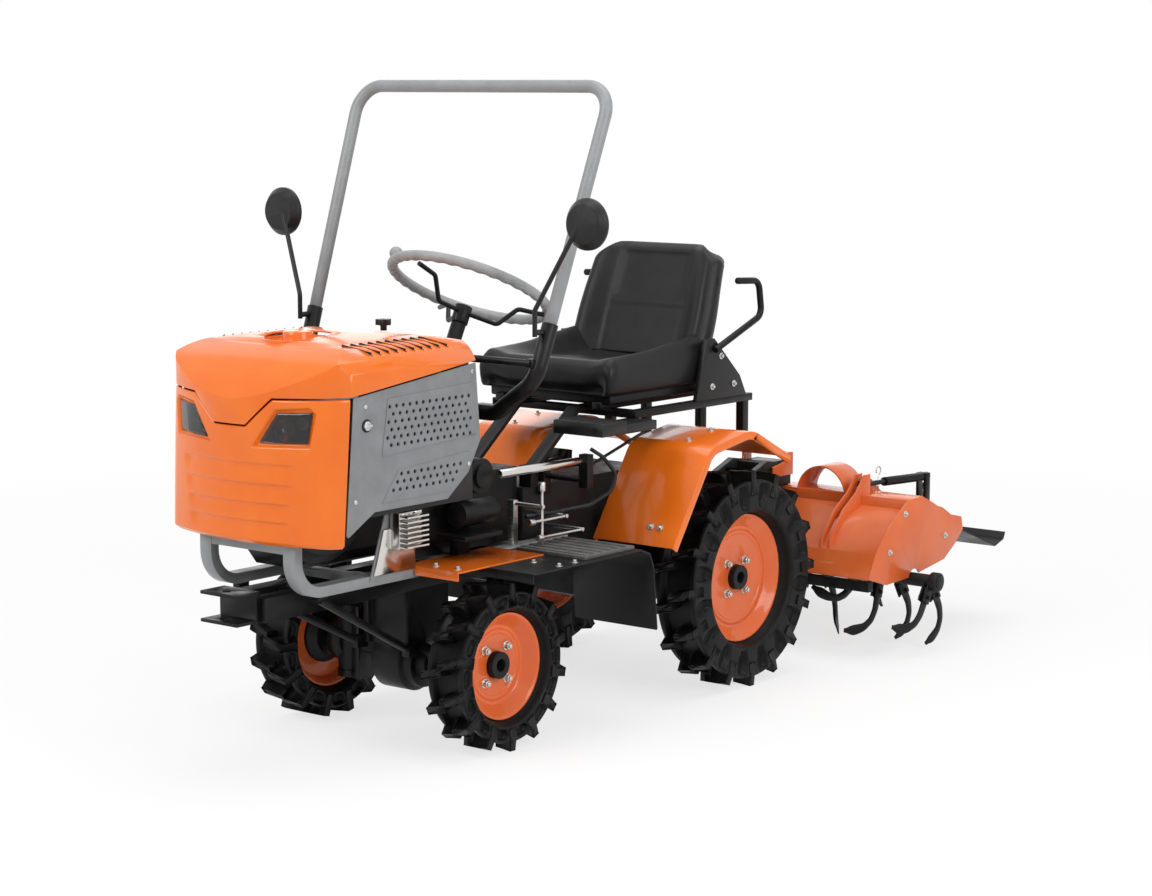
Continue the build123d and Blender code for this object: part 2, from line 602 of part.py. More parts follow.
# Perforated fields of a side panel: corners of the raised field, then rows of (first y, last y, z)
UPPER_FIELD = [(-362, 893), (-66, 905), (-50, 778), (-384, 760)]
UPPER_ROWS = [(-356, -78, 874), (-344, -76, 856), (-360, -76, 838), (-350, -70, 820), (-364, -66, 802), (-352, -64, 784)]
LOWER_FIELD = [(-330, 722), (-78, 742), (-96, 700), (-160, 652), (-384, 652)]
LOWER_ROWS = [(-318, -100, 714), (-332, -112, 696), (-346, -130, 678)]
HOLE_R, HOLE_PITCH = 5.0, 23.0
PANEL_T, FIELD_T = 3.0, 2.5
with BuildPart() as side_panels:
    for side in (1, -1):
        x = 277 if side == 1 else -280
        plate(Plane.YZ.offset(x), [(F - 474, 903), (BONNET_REAR, 951), (F - 36, 763), (F - 80, 690),
                                   (F - 155, 634), (F - 408, 634), (F - 495, 585), (F - 501, 590)], PANEL_T)
        field_x = x + PANEL_T if side == 1 else x - FIELD_T
        for field in (UPPER_FIELD, LOWER_FIELD):
            plate(Plane.YZ.offset(field_x), [(F + y, z) for y, z in field], FIELD_T)
        with BuildSketch(Plane.YZ.offset(min(x, field_x) - 1)) as holes:
            for first, last, z in UPPER_ROWS + LOWER_ROWS:
                for number in range(int((last - first) / HOLE_PITCH) + 1):
                    with Locations((F + first + number * HOLE_PITCH, z)):
                        RegularPolygon(HOLE_R, 6)
        extrude(holes.sketch, amount=PANEL_T + FIELD_T + 2, mode=Mode.SUBTRACT)
save(side_panels, "side_panels")


# Foot plates, steps and mats

STEP_IN, STEP_OUT = 175.0, 440.0
STEP_TOP = FLOOR_Z                   # the black steps hang under the orange foot plates
with BuildPart() as foot_plates:
    for side in (1, -1):
        block(*sorted((side * 126, side * 300)), F - 140, F + 178, FLOOR_Z, FLOOR_Z + PLATE_T)
        block(*sorted((side * 160, side * 300)), F - 144, F - 140, FLOOR_Z - 18, FLOOR_Z + PLATE_T)
save(foot_plates, "foot_plates")

GUARD = [(-28, 0), (396, 0), (430, -14), (446, -50), (462, -212)]
with BuildPart() as step_guards:
    for side in (1, -1):
        x = STEP_IN if side == 1 else -STEP_OUT
        guard_top = [(F + y, STEP_TOP + z) for y, z in GUARD]
        guard_under = [(y - PLATE_T, z - PLATE_T) for y, z in guard_top[1:]]
        plate(Plane.YZ.offset(x), [(F - 32, STEP_TOP)] + guard_top[1:] + guard_under[::-1]
              + [(F - 28, STEP_TOP - PLATE_T), (F - 28, STEP_TOP - 24), (F - 32, STEP_TOP - 24)],
              STEP_OUT - STEP_IN)
save(step_guards, "step_guards")

with BuildPart() as foot_mats:
    for side in (1, -1):
        block(*sorted((side * 200, side * 420)), F + 190, F + 390, STEP_TOP, STEP_TOP + 9)
        for row in range(6):
            block(*sorted((side * 206, side * 414)), F + 200 + row * 32, F + 214 + row * 32, STEP_TOP + 9, STEP_TOP + 12)
save(foot_mats, "foot_mats")


# Rear fenders

FENDER_ARCH = [(575, 425), (738, 667), (925, 697), (1108, 606)]
FENDER_BENDS = (70, 110)
FENDER_X, FENDER_HALF = 272.0, 132.0
# The sheet's section, across and down: a deep rolled flange outside, a thin one inside
FENDER_SECTION = [(-FENDER_HALF, -2), (FENDER_HALF, -2), (FENDER_HALF, 20), (FENDER_HALF - 8, 20), (FENDER_HALF - 8, 2),
                  (4 - FENDER_HALF, 2), (4 - FENDER_HALF, 18), (-FENDER_HALF, 18)]
with BuildPart() as fenders:
    for side in (1, -1):
        with BuildLine() as arch:
            FilletPolyline(*[(side * FENDER_X, F + y, z) for y, z in FENDER_ARCH], radius=FENDER_BENDS)
        with BuildSketch(Plane(origin=arch.line @ 0, x_dir=(1, 0, 0), z_dir=arch.line % 0)) as section:
            with BuildLine():
                Polyline(*[(side * across, down) for across, down in FENDER_SECTION], close=True)
            make_face()
        sweep(section.sketch, path=arch.line)
save(fenders, "fenders")


# Seat, its frame and covers

with BuildPart() as seat_frame:
    for side in (1, -1):
        plate(Plane.YZ.offset(side * 100 - 20), [(F + 365, 620), (F + 550, 765), (F + 900, 765), (F + 900, 775),
                                                 (F + 545, 775), (F + 357, 628)], 40)
        block(side * 100 - 20, side * 100 + 20, F + 345, F + 375, 585, 640)
    for x in (-245, 215):
        block(x, x + 30, F + 640, F + 1150, 745, 765)
    block(-245, 245, F + 1120, F + 1150, 745, 765)
    block(-245, 245, F + 620, F + 650, 745, 765)
    for side in (1, -1):
        block(side * 230 - 12, side * 230 + 12, F + 1110, F + 1135, 650, 745)
        block(side * 95 - 10, side * 95 + 10, F + 1100, F + 1128, 520, 745)
save(seat_frame, "seat_frame")

SEAT_HALF, CUSHION_LOW, CUSHION_TOP = 235.0, 800.0, 892.0
BACK_LEAN = Plane(origin=(0, F + 940, 862), x_dir=(1, 0, 0), z_dir=(0, -0.94, 0.34))
with BuildPart() as seat:
    with BuildSketch(Plane.YZ.offset(-SEAT_HALF)) as cushion:
        with BuildLine():
            Polyline((F + 530, 850), (F + 545, 815), (F + 600, CUSHION_LOW), (F + 970, CUSHION_LOW),
                     (F + 990, 858), (F + 930, 884), (F + 700, 880), (F + 600, CUSHION_TOP), (F + 552, CUSHION_TOP - 8),
                     close=True)
        make_face()
    extrude(cushion.sketch, amount=2 * SEAT_HALF)
    for x in (-SEAT_HALF, SEAT_HALF - 52):
        plate(Plane.YZ.offset(x), [(F + 580, 880), (F + 720, 912), (F + 864, 955), (F + 985, 960), (F + 985, 850),
                                   (F + 580, 850)], 52)
    with BuildSketch(BACK_LEAN) as backrest:
        with BuildLine():
            Polyline((-SEAT_HALF, -20), (-SEAT_HALF, 120), (-215, 290), (-190, 328), (-140, 345), (140, 345),
                     (190, 328), (215, 290), (SEAT_HALF, 120), (SEAT_HALF, -20), close=True)
        make_face()
    extrude(backrest.sketch, amount=-66)
    for side in (1, -1):
        with BuildSketch(BACK_LEAN) as bolster:
            with BuildLine():
                Polyline(*[(side * x, v) for x, v in ((SEAT_HALF, -20), (SEAT_HALF, 120), (215, 290), (190, 328),
                                                      (150, 310), (160, 120), (170, -20))], close=True)
            make_face()
        extrude(bolster.sketch, amount=24)
save(seat, "seat")

with BuildPart() as seat_boxes:
    block(170, 330, F + 374, F + 474, 728, 762)
    block(215, 300, F + 474, F + 640, 721, 745)
    block(-300, -215, F + 560, F + 640, 721, 745)
save(seat_boxes, "seat_boxes")

with BuildPart() as seat_covers:
    for side in (1, -1):
        x = 238 if side == 1 else -252
        plate(Plane.YZ.offset(x), [(F + 880, 765.2), (F + 1110, 765.2), (F + 1080, 820), (F + 960, 930), (F + 925, 930)], 14)
save(seat_covers, "seat_covers")

with BuildPart() as grab_rails:
    for side in (1, -1):
        x = side * 262
        bent_tube([(x, F + 950, 900), (x, F + 1165, 980), (x, F + 1150, 1075), (x, F + 1050, 1080)], 30, 9)
save(grab_rails, "grab_rails")


# Levers and rods

with BuildPart() as hand_lever:
    rod((250, F + 67, 664), (250, F + 376, 661), 11)
    rod((250, F + 370, 661), (250, F + 396, 661), 8)
save(hand_lever, "hand_lever")

with BuildPart() as lever_bracket:
    block(236, 264, F + 396, F + 420, 590, 676)
    rod((250, F + 405, 640), (250, F + 650, 708), 4)
    rod((250, F + 405, 610), (112, F + 405, 610), 8)
    block(105, 125, F + 391, F + 419, 560, 630)
save(lever_bracket, "lever_bracket")

LINK_X = 238.0
with BuildPart() as control_rods:
    rod((LINK_X, F + 246, STEP_TOP + 12), (LINK_X, F + 246, 612), 4)
    rod((LINK_X, F + 246, 600), (LINK_X, F + 246, 622), 9)
    for z, y0, y1 in ((525, 205, 345), (482, 238, 410)):
        rod((LINK_X, F + y0, z), (LINK_X, F + y1, z), 4)
        rod((LINK_X, F + y0 - 8, z), (LINK_X, F + y0 + 10, z), 8)
    rod((105, F + 340, 525), (LINK_X + 6, F + 340, 525), 5)
    rod((105, F + 405, 482), (LINK_X + 6, F + 405, 482), 5)
    rod((150, F + 246, 560), (LINK_X + 6, F + 246, 560), 5)
    block(130, 152, F + 238, F + 254, 452.5, 568)
save(control_rods, "control_rods")

CABLE = [(215, 210, 537), (228, 330, 538), (262, 412, 548), (292, 462, 580), (296, 474, 622), (280, 440, 668), (262, 412, 690)]
with BuildPart() as control_cable:
    bent_tube([(x, F + y, z) for x, y, z in CABLE], 30, 5)
save(control_cable, "control_cable")

with BuildPart() as starter:
    rod((165, F + 6, 562), (165, F + 132, 562), 32)
    rod((165, F + 132, 562), (165, F + 150, 562), 20)
    block(125, 165, F + 60, F + 100, 540, 584)
    rod((125, F + 54, 657), (205, F + 54, 657), 44)
    rod((205, F + 54, 657), (215, F + 54, 657), 30)
    block(125, 215, F - 20, F + 120, 504, 514)
save(starter, "starter")


# Tiller hitch, hood, frame, rotor and levelling board

PIVOT_Y, PIVOT_Z = TILLER_PIVOT
L = HOOD_LIFT
HITCH_PIN_R, HITCH_CLEAR = 12.5, 0.05
with BuildPart() as tiller_hitch:
    block(-90, 90, R + 191, R + 205, 330, 470)
    for x in (-90, 74):
        plate(Plane.YZ.offset(x), [(R + 205, 340), (R + 205, 460), (PIVOT_Y + 30, PIVOT_Z + 30),
                                   (PIVOT_Y + 30, PIVOT_Z - 30)], 16)
    rod((-90, PIVOT_Y, PIVOT_Z), (90, PIVOT_Y, PIVOT_Z), HITCH_PIN_R)
save(tiller_hitch, "tiller_hitch")

with BuildPart() as tiller_frame:
    for x in (-70, 50):
        plate(Plane.YZ.offset(x), [(PIVOT_Y - 25, PIVOT_Z - 25), (PIVOT_Y - 25, PIVOT_Z + 25),
                                   (F + 1480, 520), (F + 1600, 500), (F + 1600, 388 + L), (F + 1540, 388 + L),
                                   (F + 1420, 410)], 20)
    rod((-70, PIVOT_Y, PIVOT_Z), (70, PIVOT_Y, PIVOT_Z), 26)
    rod((-70, PIVOT_Y, PIVOT_Z), (70, PIVOT_Y, PIVOT_Z), HITCH_PIN_R + HITCH_CLEAR, mode=Mode.SUBTRACT)
    block(-50, 50, F + 1500, F + 1600, 440, 510)
    block(-HOOD_HALF, HOOD_HALF, F + 1368, F + 1392, 200, 228)
    for side in (1, -1):
        plate(Plane.YZ.offset(side * 44 - 9), [(F + 1368, 205), (F + 1392, 205), (F + 1450, 425), (F + 1425, 425)], 18)
    plate(Plane.YZ.offset(-28), [(ROTOR_Y - 90, 440), (ROTOR_Y, 500), (ROTOR_Y + 50, 440), (ROTOR_Y + 61, ROTOR_Z),
                                 (ROTOR_Y, ROTOR_Z - 61), (ROTOR_Y - 61, ROTOR_Z)], 56)
    rod((-28, ROTOR_Y, ROTOR_Z), (28, ROTOR_Y, ROTOR_Z), 62)
    rod((-28, ROTOR_Y, ROTOR_Z), (28, ROTOR_Y, ROTOR_Z), ROTOR_SHAFT_R + 0.05, mode=Mode.SUBTRACT)
save(tiller_frame, "tiller_frame")

PLATE_POINTS = [(1363, 185), (1455, 156), (1580, 160), (1769, 187), (1830, 225), (1872, 262), (1862, 300), (1793, 316),
                (1700, 362), (1640, 388), (1566, 384), (1470, 324), (1400, 254)]
HOOD_SHEET = [(1363, 185), (1400, 250), (1470, 320), (1571, 360), (1640, 372), (1760, 340), (1850, 290)]
LEDGE = [(1562, 356), (1566, 384), (1640, 388), (1640, 370)]
FIN = [(1400, 248), (1404, 276), (1470, 352), (1540, 396), (1580, 440), (1612, 440), (1612, 368), (1571, 358), (1470, 318)]
TAIL_FIN = [(1612, 372), (1612, 430), (1660, 418), (1720, 372), (1740, 344)]
ARCH_X, ARCH_R = 200.0, 84.0
with BuildPart() as tiller_hood:
    for x in (-HOOD_HALF - 4, HOOD_HALF):
        plate(Plane.YZ.offset(x), [(F + y, z + L) for y, z in PLATE_POINTS], 4)
    under = [(y + 4 * (y < 1560), z - 4) for y, z in HOOD_SHEET]
    plate(Plane.YZ.offset(-HOOD_HALF), [(F + y, z + L) for y, z in HOOD_SHEET + under[::-1]], 2 * HOOD_HALF)
    plate(Plane.YZ.offset(-HOOD_HALF), [(F + y, z + L) for y, z in LEDGE], 2 * HOOD_HALF)
    for x in (306, 334):
        plate(Plane.YZ.offset(x), [(F + y, z + L) for y, z in FIN], 5)
    plate(Plane.YZ.offset(306), [(F + y, z + L) for y, z in TAIL_FIN], 5)
    with BuildSketch(Plane.XZ.offset(-(F + 1565))) as arch:
        with Locations((ARCH_X, 372 + L)):
            Circle(ARCH_R)
            Circle(ARCH_R - 4, mode=Mode.SUBTRACT)
        with Locations((ARCH_X, 372 + L - 60)):
            Rectangle(200, 100, mode=Mode.SUBTRACT)
    extrude(arch.sketch, amount=-100)
    with Locations((0, F + 1500, 360)):
        Box(110, 330, 400, mode=Mode.SUBTRACT)
    rod((-HOOD_HALF - 6, ROTOR_Y, ROTOR_Z), (HOOD_HALF + 6, ROTOR_Y, ROTOR_Z), 30, mode=Mode.SUBTRACT)
save(tiller_hood, "tiller_hood")

BRACKET_Z = 530.0
with BuildPart() as tiller_bracket:
    for x in (-78, 70):
        plate(Plane.YZ.offset(x), [(F + 1500, 470), (F + 1500, 500), (F + 1560, 510), (F + 1560, BRACKET_Z),
                                   (F + 1600, BRACKET_Z), (F + 1600, 470)], 8)
    block(-78, 78, F + 1552, F + 1600, BRACKET_Z, BRACKET_Z + 6)
    with BuildSketch(Plane.XY.offset(BRACKET_Z - 1)) as bracket_holes:
        for x in (-48, 0, 48):
            with Locations((x, F + 1576)):
                RegularPolygon(8, 8)
    extrude(bracket_holes.sketch, amount=8, mode=Mode.SUBTRACT)
save(tiller_bracket, "tiller_bracket")

ADJUSTER_X, ADJUSTER_Z = 322.5, 410.0 + L
with BuildPart() as adjuster:
    rod((ADJUSTER_X, F + 1596, ADJUSTER_Z), (ADJUSTER_X, F + 1720, ADJUSTER_Z - 6), 7)
    rod((311, F + 1596, ADJUSTER_Z), (334, F + 1596, ADJUSTER_Z), 9)
    rod((ADJUSTER_X, F + 1712, ADJUSTER_Z - 5.6), (ADJUSTER_X, F + 1950, ADJUSTER_Z - 17), 13)
    for x in (-13, 13):
        block(ADJUSTER_X + x - 4, ADJUSTER_X + x + 4, F + 1918, F + 1942, 300 + L, ADJUSTER_Z - 4)
save(adjuster, "adjuster")

ROTOR_HALF = 583.0
TINE_STATIONS = (70, 132, 194, 256, 318, 380, 442, 548)       # two tines at each, either side of the middle
STATION_TURN = 67.5
HOLDER = [(12, -15), (12, 15), (54, 15), (60, 9), (60, -15)]
TINE = [(38, -13), (98, -17), (140, -5), (168, 28), (178, 72), (156, 113), (151, 74), (143, 42), (120, 16), (92, 6),
        (38, 11)]
BLADE = [(168, 28), (178, 72), (156, 113), (150, 108), (170, 71), (161, 33)]
BLADE_W = 32.0
with BuildPart() as rotor:
    rod((-ROTOR_HALF, ROTOR_Y, ROTOR_Z), (ROTOR_HALF, ROTOR_Y, ROTOR_Z), ROTOR_SHAFT_R)
    for side in (1, -1):
        rod((side * (ROTOR_HALF - 70), ROTOR_Y, ROTOR_Z), (side * (ROTOR_HALF + 1), ROTOR_Y, ROTOR_Z), 14,
            mode=Mode.SUBTRACT)
        for number, x in enumerate(TINE_STATIONS):
            turn = radians(number * STATION_TURN + (200 if side == 1 else 240))
            with BuildPart(mode=Mode.PRIVATE) as tine:
                for outline, start, thickness in ((HOLDER, 8, 24), (TINE, 0, 8), (BLADE, 0, BLADE_W)):
                    plate(Plane(origin=(side * (x + start), ROTOR_Y, ROTOR_Z), x_dir=(0, cos(turn), sin(turn)),
                                z_dir=(-side, 0, 0)), [(a, b * side) for a, b in outline], thickness)
            add([tine.part, tine.part.rotate(Axis((0, ROTOR_Y, ROTOR_Z), (1, 0, 0)), 180)])
save(rotor, "rotor")

BOARD_Y, BOARD_Z = F + 1856.0, 274.0 + L
with BuildPart() as levelling_board:
    rod((-HOOD_HALF + 6, BOARD_Y, BOARD_Z - 14), (HOOD_HALF - 6, BOARD_Y, BOARD_Z - 14), 8)
    plate(Plane.YZ.offset(-HOOD_HALF + 6), [(BOARD_Y, BOARD_Z - 10), (LENGTH / 2 - 60, 180 + L), (LENGTH / 2 - 10, 195 + L),
                                            (LENGTH / 2, 215 + L), (LENGTH / 2 - 4, 217 + L), (LENGTH / 2 - 14, 199 + L),
                                            (LENGTH / 2 - 62, 185 + L), (BOARD_Y, BOARD_Z - 6)], 2 * HOOD_HALF - 12)
save(levelling_board, "levelling_board")
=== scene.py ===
"""Dresses a small ride-on cultivator: paint, rubber, vinyl, lamps and fasteners, and the photo's studio."""

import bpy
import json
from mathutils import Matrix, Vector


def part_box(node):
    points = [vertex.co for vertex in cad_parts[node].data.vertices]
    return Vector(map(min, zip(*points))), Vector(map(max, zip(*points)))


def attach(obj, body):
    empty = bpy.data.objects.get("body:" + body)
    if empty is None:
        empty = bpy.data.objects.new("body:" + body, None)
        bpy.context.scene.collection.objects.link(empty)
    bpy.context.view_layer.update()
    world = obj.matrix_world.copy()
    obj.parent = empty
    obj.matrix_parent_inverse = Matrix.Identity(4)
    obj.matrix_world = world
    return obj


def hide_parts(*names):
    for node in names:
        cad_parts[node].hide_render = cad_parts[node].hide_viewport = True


bl_info = {
    "name": "Ride-on Cultivator Dressing",
    "version": (1, 0, 0),
    "blender": (4, 5, 0),
    "location": "View3D > Sidebar > Cultivator",
    "description": "Finishes the packed ride-on cultivator with its paint, rubber, vinyl and small fittings",
    "category": "Object",
}

import json
from math import acos, asin, atan2, copysign, cos, exp, hypot, pi, radians, sin, sqrt

import bmesh
import bpy
from bpy.props import FloatProperty, FloatVectorProperty, PointerProperty
from mathutils import Matrix, Vector

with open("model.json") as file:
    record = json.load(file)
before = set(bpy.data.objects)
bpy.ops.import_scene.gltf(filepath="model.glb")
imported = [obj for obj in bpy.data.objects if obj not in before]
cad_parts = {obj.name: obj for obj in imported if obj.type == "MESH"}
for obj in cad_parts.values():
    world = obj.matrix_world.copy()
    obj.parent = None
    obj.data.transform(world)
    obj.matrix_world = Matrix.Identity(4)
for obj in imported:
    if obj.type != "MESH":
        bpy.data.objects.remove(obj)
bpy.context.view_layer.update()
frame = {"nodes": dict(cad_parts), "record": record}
NODES = frame["nodes"]
MM = 0.001

# The machine's own places, read from the frame
FRONT_AXLE_Y = sum(v[1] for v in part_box("hub_front_left")) / 2
REAR_AXLE_Y = sum(v[1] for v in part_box("hub_rear_left")) / 2
FRONT_AXLE_Z = sum(v[2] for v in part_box("hub_front_left")) / 2
REAR_AXLE_Z = sum(v[2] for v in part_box("hub_rear_left")) / 2


# Colour and node helpers

def hex_colour(text):
    """Turns an sRGB hex value such as F07A25 into the linear colour that a socket takes."""
    channels = [int(text[i:i + 2], 16) / 255 for i in (0, 2, 4)]
    linear = [c / 12.92 if c <= 0.04045 else ((c + 0.055) / 1.055) ** 2.4 for c in channels]
    return (*linear, 1.0)


def node(material, kind, settings=None, links=None, sockets=None):
    """Adds one shader node: its settings, the values of its input sockets and the links that feed it."""
    made = material.node_tree.nodes.new(kind)
    for name, value in (settings or {}).items():
        setattr(made, name, value)
    for name, value in (sockets or {}).items():
        made.inputs[name].default_value = value
    for name, source in (links or {}).items():
        material.node_tree.links.new(source, made.inputs[name])
    return made


def blank_material(name):
    """Starts a node material with nothing in it but its output."""
    material = bpy.data.materials.new(name)
    material.use_nodes = True
    material.node_tree.nodes.clear()
    return material


def finish_material(material, shader):
    """Links the last shader to the material's output."""
    node(material, "ShaderNodeOutputMaterial", links={"Surface": shader})
    return material


def grain(material, size, detail):
    """A noise pattern whose features are about size metres across, on Object coordinates."""
    place = node(material, "ShaderNodeTexCoord")
    return node(material, "ShaderNodeTexNoise", links={"Vector": place.outputs["Object"]},
                sockets={"Scale": 1.0 / size, "Detail": detail, "Roughness": 0.55})


def cells(material, size):
    """A pattern of cells about size metres across, which falls to 0 between them."""
    place = node(material, "ShaderNodeTexCoord")
    return node(material, "ShaderNodeTexVoronoi", settings={"feature": "DISTANCE_TO_EDGE"},
                links={"Vector": place.outputs["Object"]}, sockets={"Scale": 1.0 / size})


def spread(material, pattern, low, high, dark, light):
    """Turns a 0 to 1 pattern into a colour between two hex values."""
    ramp = node(material, "ShaderNodeValToRGB", links={"Fac": pattern.outputs[0]})
    ramp.color_ramp.elements[0].position = low
    ramp.color_ramp.elements[1].position = high
    ramp.color_ramp.elements[0].color = hex_colour(dark)
    ramp.color_ramp.elements[1].color = hex_colour(light)
    return ramp


def rougher(material, pattern, low, high):
    """Turns a 0 to 1 pattern into a roughness between two values."""
    return node(material, "ShaderNodeMapRange", links={"Value": pattern.outputs[0]},
                sockets={"From Min": 0.3, "From Max": 0.7, "To Min": low, "To Max": high})


def bump(material, pattern, depth, strength):
    """Turns a 0 to 1 pattern into bump of a depth in metres."""
    return node(material, "ShaderNodeBump", links={"Height": pattern.outputs[0]},
                sockets={"Distance": depth, "Strength": strength})


def layered(name, colours, tone, span, rough, relief, sockets):
    """A finish with a slow tone, which tints it and dulls its shine, and a fine relief in its skin.

    tone is the slow pattern's size and detail, and span the stretch of it between the two colours. relief
    is the fine pattern's size, detail, depth and strength; with no detail it is made of cells."""
    material = blank_material(name)
    slow = grain(material, *tone)
    size, detail, depth, strength = relief
    fine = cells(material, size) if detail is None else grain(material, size, detail)
    skin = node(material, "ShaderNodeBsdfPrincipled", sockets=sockets,
                links={"Base Color": spread(material, slow, *span, *colours).outputs["Color"],
                       "Roughness": rougher(material, slow, *rough).outputs["Result"],
                       "Normal": bump(material, fine, depth, strength).outputs["Normal"]})
    return finish_material(material, skin.outputs["BSDF"])


# Materials, each named for what the real one is

def enamel(name, dark, light, roughness=0.22, coat=0.35):
    """Sprayed gloss enamel over pressed steel: even colour, a wet shine and a faint orange peel."""
    return layered(name, (dark, light), tone=(0.12, 2.0), span=(0.3, 0.7),
                   rough=(roughness * 0.85, roughness * 1.2), relief=(0.0035, 1.0, 0.00012, 0.5),
                   sockets={"Coat Weight": coat, "Coat Roughness": 0.06, "Specular IOR Level": 0.25})


def powder_coat(name, dark, light, roughness=0.38, metal=0.0, shine=0.22):
    """Baked powder coat on steel: fine pebbled skin, semi-gloss, dull where dust sits."""
    return layered(name, (dark, light), tone=(0.05, 4.0), span=(0.35, 0.75),
                   rough=(roughness * 0.8, roughness * 1.3), relief=(0.0016, 2.0, 0.00008, 0.7),
                   sockets={"Metallic": metal, "Specular IOR Level": shine})


def painted_casting(name, dark, light):
    """Sand-cast iron under black paint: a pebbled skin with soft shine on the high spots."""
    return layered(name, (dark, light), tone=(0.04, 4.0), span=(0.35, 0.7), rough=(0.32, 0.55),
                   relief=(0.003, 5.0, 0.0004, 0.8), sockets={"Specular IOR Level": 0.2})


def tyre_rubber(name, dark, light):
    """Moulded carbon-black rubber: dark and slightly waxy, greyer where the mould release dulls it."""
    return layered(name, (dark, light), tone=(0.06, 5.0), span=(0.35, 0.72), rough=(0.38, 0.58),
                   relief=(0.0022, 3.0, 0.00015, 0.8), sockets={"Specular IOR Level": 0.16})


def moulded_plastic(name, dark, light, roughness=0.4):
    """Injection-moulded plastic: even colour with a fine spark-eroded grain."""
    return layered(name, (dark, light), tone=(0.03, 2.0), span=(0.3, 0.7),
                   rough=(roughness * 0.85, roughness * 1.2), relief=(0.0012, 2.0, 0.00006, 0.6),
                   sockets={"Specular IOR Level": 0.3})


def seat_vinyl(name, dark, light):
    """Foam-backed vinyl: black, softly shining, with a leather grain a few millimetres across."""
    return layered(name, (dark, light), tone=(0.08, 3.0), span=(0.3, 0.75), rough=(0.36, 0.5),
                   relief=(0.0030, None, 0.00025, 0.35), sockets={"Specular IOR Level": 0.22})


def metal(name, colour, roughness, scratch):
    """Bare or plated metal: its own colour, with fine streaks from polishing or wear."""
    material = blank_material(name)
    place = node(material, "ShaderNodeTexCoord")
    stretch = node(material, "ShaderNodeMapping", links={"Vector": place.outputs["Object"]},
                   sockets={"Scale": (40.0, 900.0, 900.0)})
    streaks = node(material, "ShaderNodeTexNoise", links={"Vector": stretch.outputs["Vector"]},
                   sockets={"Scale": 1.0, "Detail": 3.0})
    dull = rougher(material, streaks, roughness * 0.7, roughness * 1.4)
    skin = node(material, "ShaderNodeBsdfPrincipled",
                links={"Roughness": dull.outputs["Result"],
                       "Normal": bump(material, streaks, scratch, 0.4).outputs["Normal"]},
                sockets={"Base Color": hex_colour(colour), "Metallic": 1.0})
    return finish_material(material, skin.outputs["BSDF"])


def smoked_lens(name):
    """Smoked clear acrylic: a tinted cover with a hard wet shine, through which the bowl shows."""
    material = blank_material(name)
    tint = node(material, "ShaderNodeBsdfTransparent", sockets={"Color": hex_colour("A9ACAF")})
    gloss = node(material, "ShaderNodeBsdfGlossy", sockets={"Color": hex_colour("FFFFFF"), "Roughness": 0.03})
    edge = node(material, "ShaderNodeFresnel", sockets={"IOR": 1.49})
    mix = node(material, "ShaderNodeMixShader",
               links={0: edge.outputs[0], 1: tint.outputs[0], 2: gloss.outputs[0]})
    return finish_material(material, mix.outputs[0])


def make_materials():
    """Every finish of the machine, keyed by the record's slot names and by a few of the scene's own."""
    return {
        "bonnet_orange": enamel("bonnet_enamel", "E46A14", "E9721B"),
        "rim_orange": enamel("rim_enamel", "D9622C", "E06A33", roughness=0.3),
        "hood_orange": enamel("tiller_hood_enamel", "D2602B", "DB6C38", roughness=0.34, coat=0.3),
        "frame_grey": powder_coat("frame_grey_paint", "87898A", "939596", shine=0.4),
        "panel_grey": powder_coat("panel_grey_paint", "7C7E80", "888A8C", roughness=0.42),
        "black_steel": powder_coat("black_powder_coat", "0B0B0C", "151516"),
        "cast_black": painted_casting("black_casting_paint", "0E0E0F", "1B1B1C"),
        "black_plastic": moulded_plastic("black_abs", "121213", "1C1C1D"),
        "grip_grey": moulded_plastic("grey_grip_plastic", "8E8F90", "9FA0A1", roughness=0.5),
        "lamp_glass": smoked_lens("smoked_acrylic"),
        "seat_vinyl": seat_vinyl("seat_vinyl", "121213", "1E1E1F"),
        "mat_rubber": moulded_plastic("grey_rubber", "5A5A5A", "6C6B6A", roughness=0.6),
        "polished_plate": metal("polished_aluminium_plate", "D2CFCB", 0.18, 0.00002),
        "tine_steel": powder_coat("forged_tine_black", "131314", "242426", roughness=0.45, metal=0.2),
        "tyre": tyre_rubber("tyre_rubber", "0C0C0C", "181819"),
        "zinc_rod": metal("zinc_plated_steel", "C9C9C6", 0.28, 0.00003),
    }


# Settings that a user would change

class CultivatorStage(bpy.types.PropertyGroup):
    """The studio: camera and floor."""

    camera_place: FloatVectorProperty(
        name="Camera place", description="Where the camera stands, as in the photo",
        default=(4.384, -5.526, 1.619), subtype="TRANSLATION", unit="LENGTH")
    camera_azimuth: FloatProperty(name="Azimuth", description="Turn of the view from +Y towards -X",
                                  default=radians(38.792), subtype="ANGLE", unit="ROTATION")
    camera_pitch: FloatProperty(name="Pitch", description="How far the view looks down",
                                default=radians(7.959), subtype="ANGLE", unit="ROTATION")
    camera_lens: FloatProperty(name="Lens", description="Focal length on a 36 mm wide sensor",
                               default=82.32, subtype="DISTANCE_CAMERA")
    floor_size: FloatProperty(name="Floor", description="Half the floor's side", default=30.0, unit="LENGTH")


class CultivatorLooks(bpy.types.PropertyGroup):
    """Sizes of the small finishing work."""

    edge_round: FloatProperty(name="Edge rounding", description="Rounding of the pressed and cast edges",
                              default=1.2 * MM, unit="LENGTH")
    edge_angle: FloatProperty(name="Edge angle", description="Edges sharper than this are rounded",
                              default=radians(32), subtype="ANGLE", unit="ROTATION")


def looks():
    """The scene's finishing settings."""
    return bpy.context.scene.cultivator_looks


# Stage

# The floor's share of glow, by metres from its middle
FLOOR_GLOW = {"From Min": 1.2, "From Max": 4.5, "To Min": 0.72, "To Max": 1.0}
WORLD_FILL = 0.40
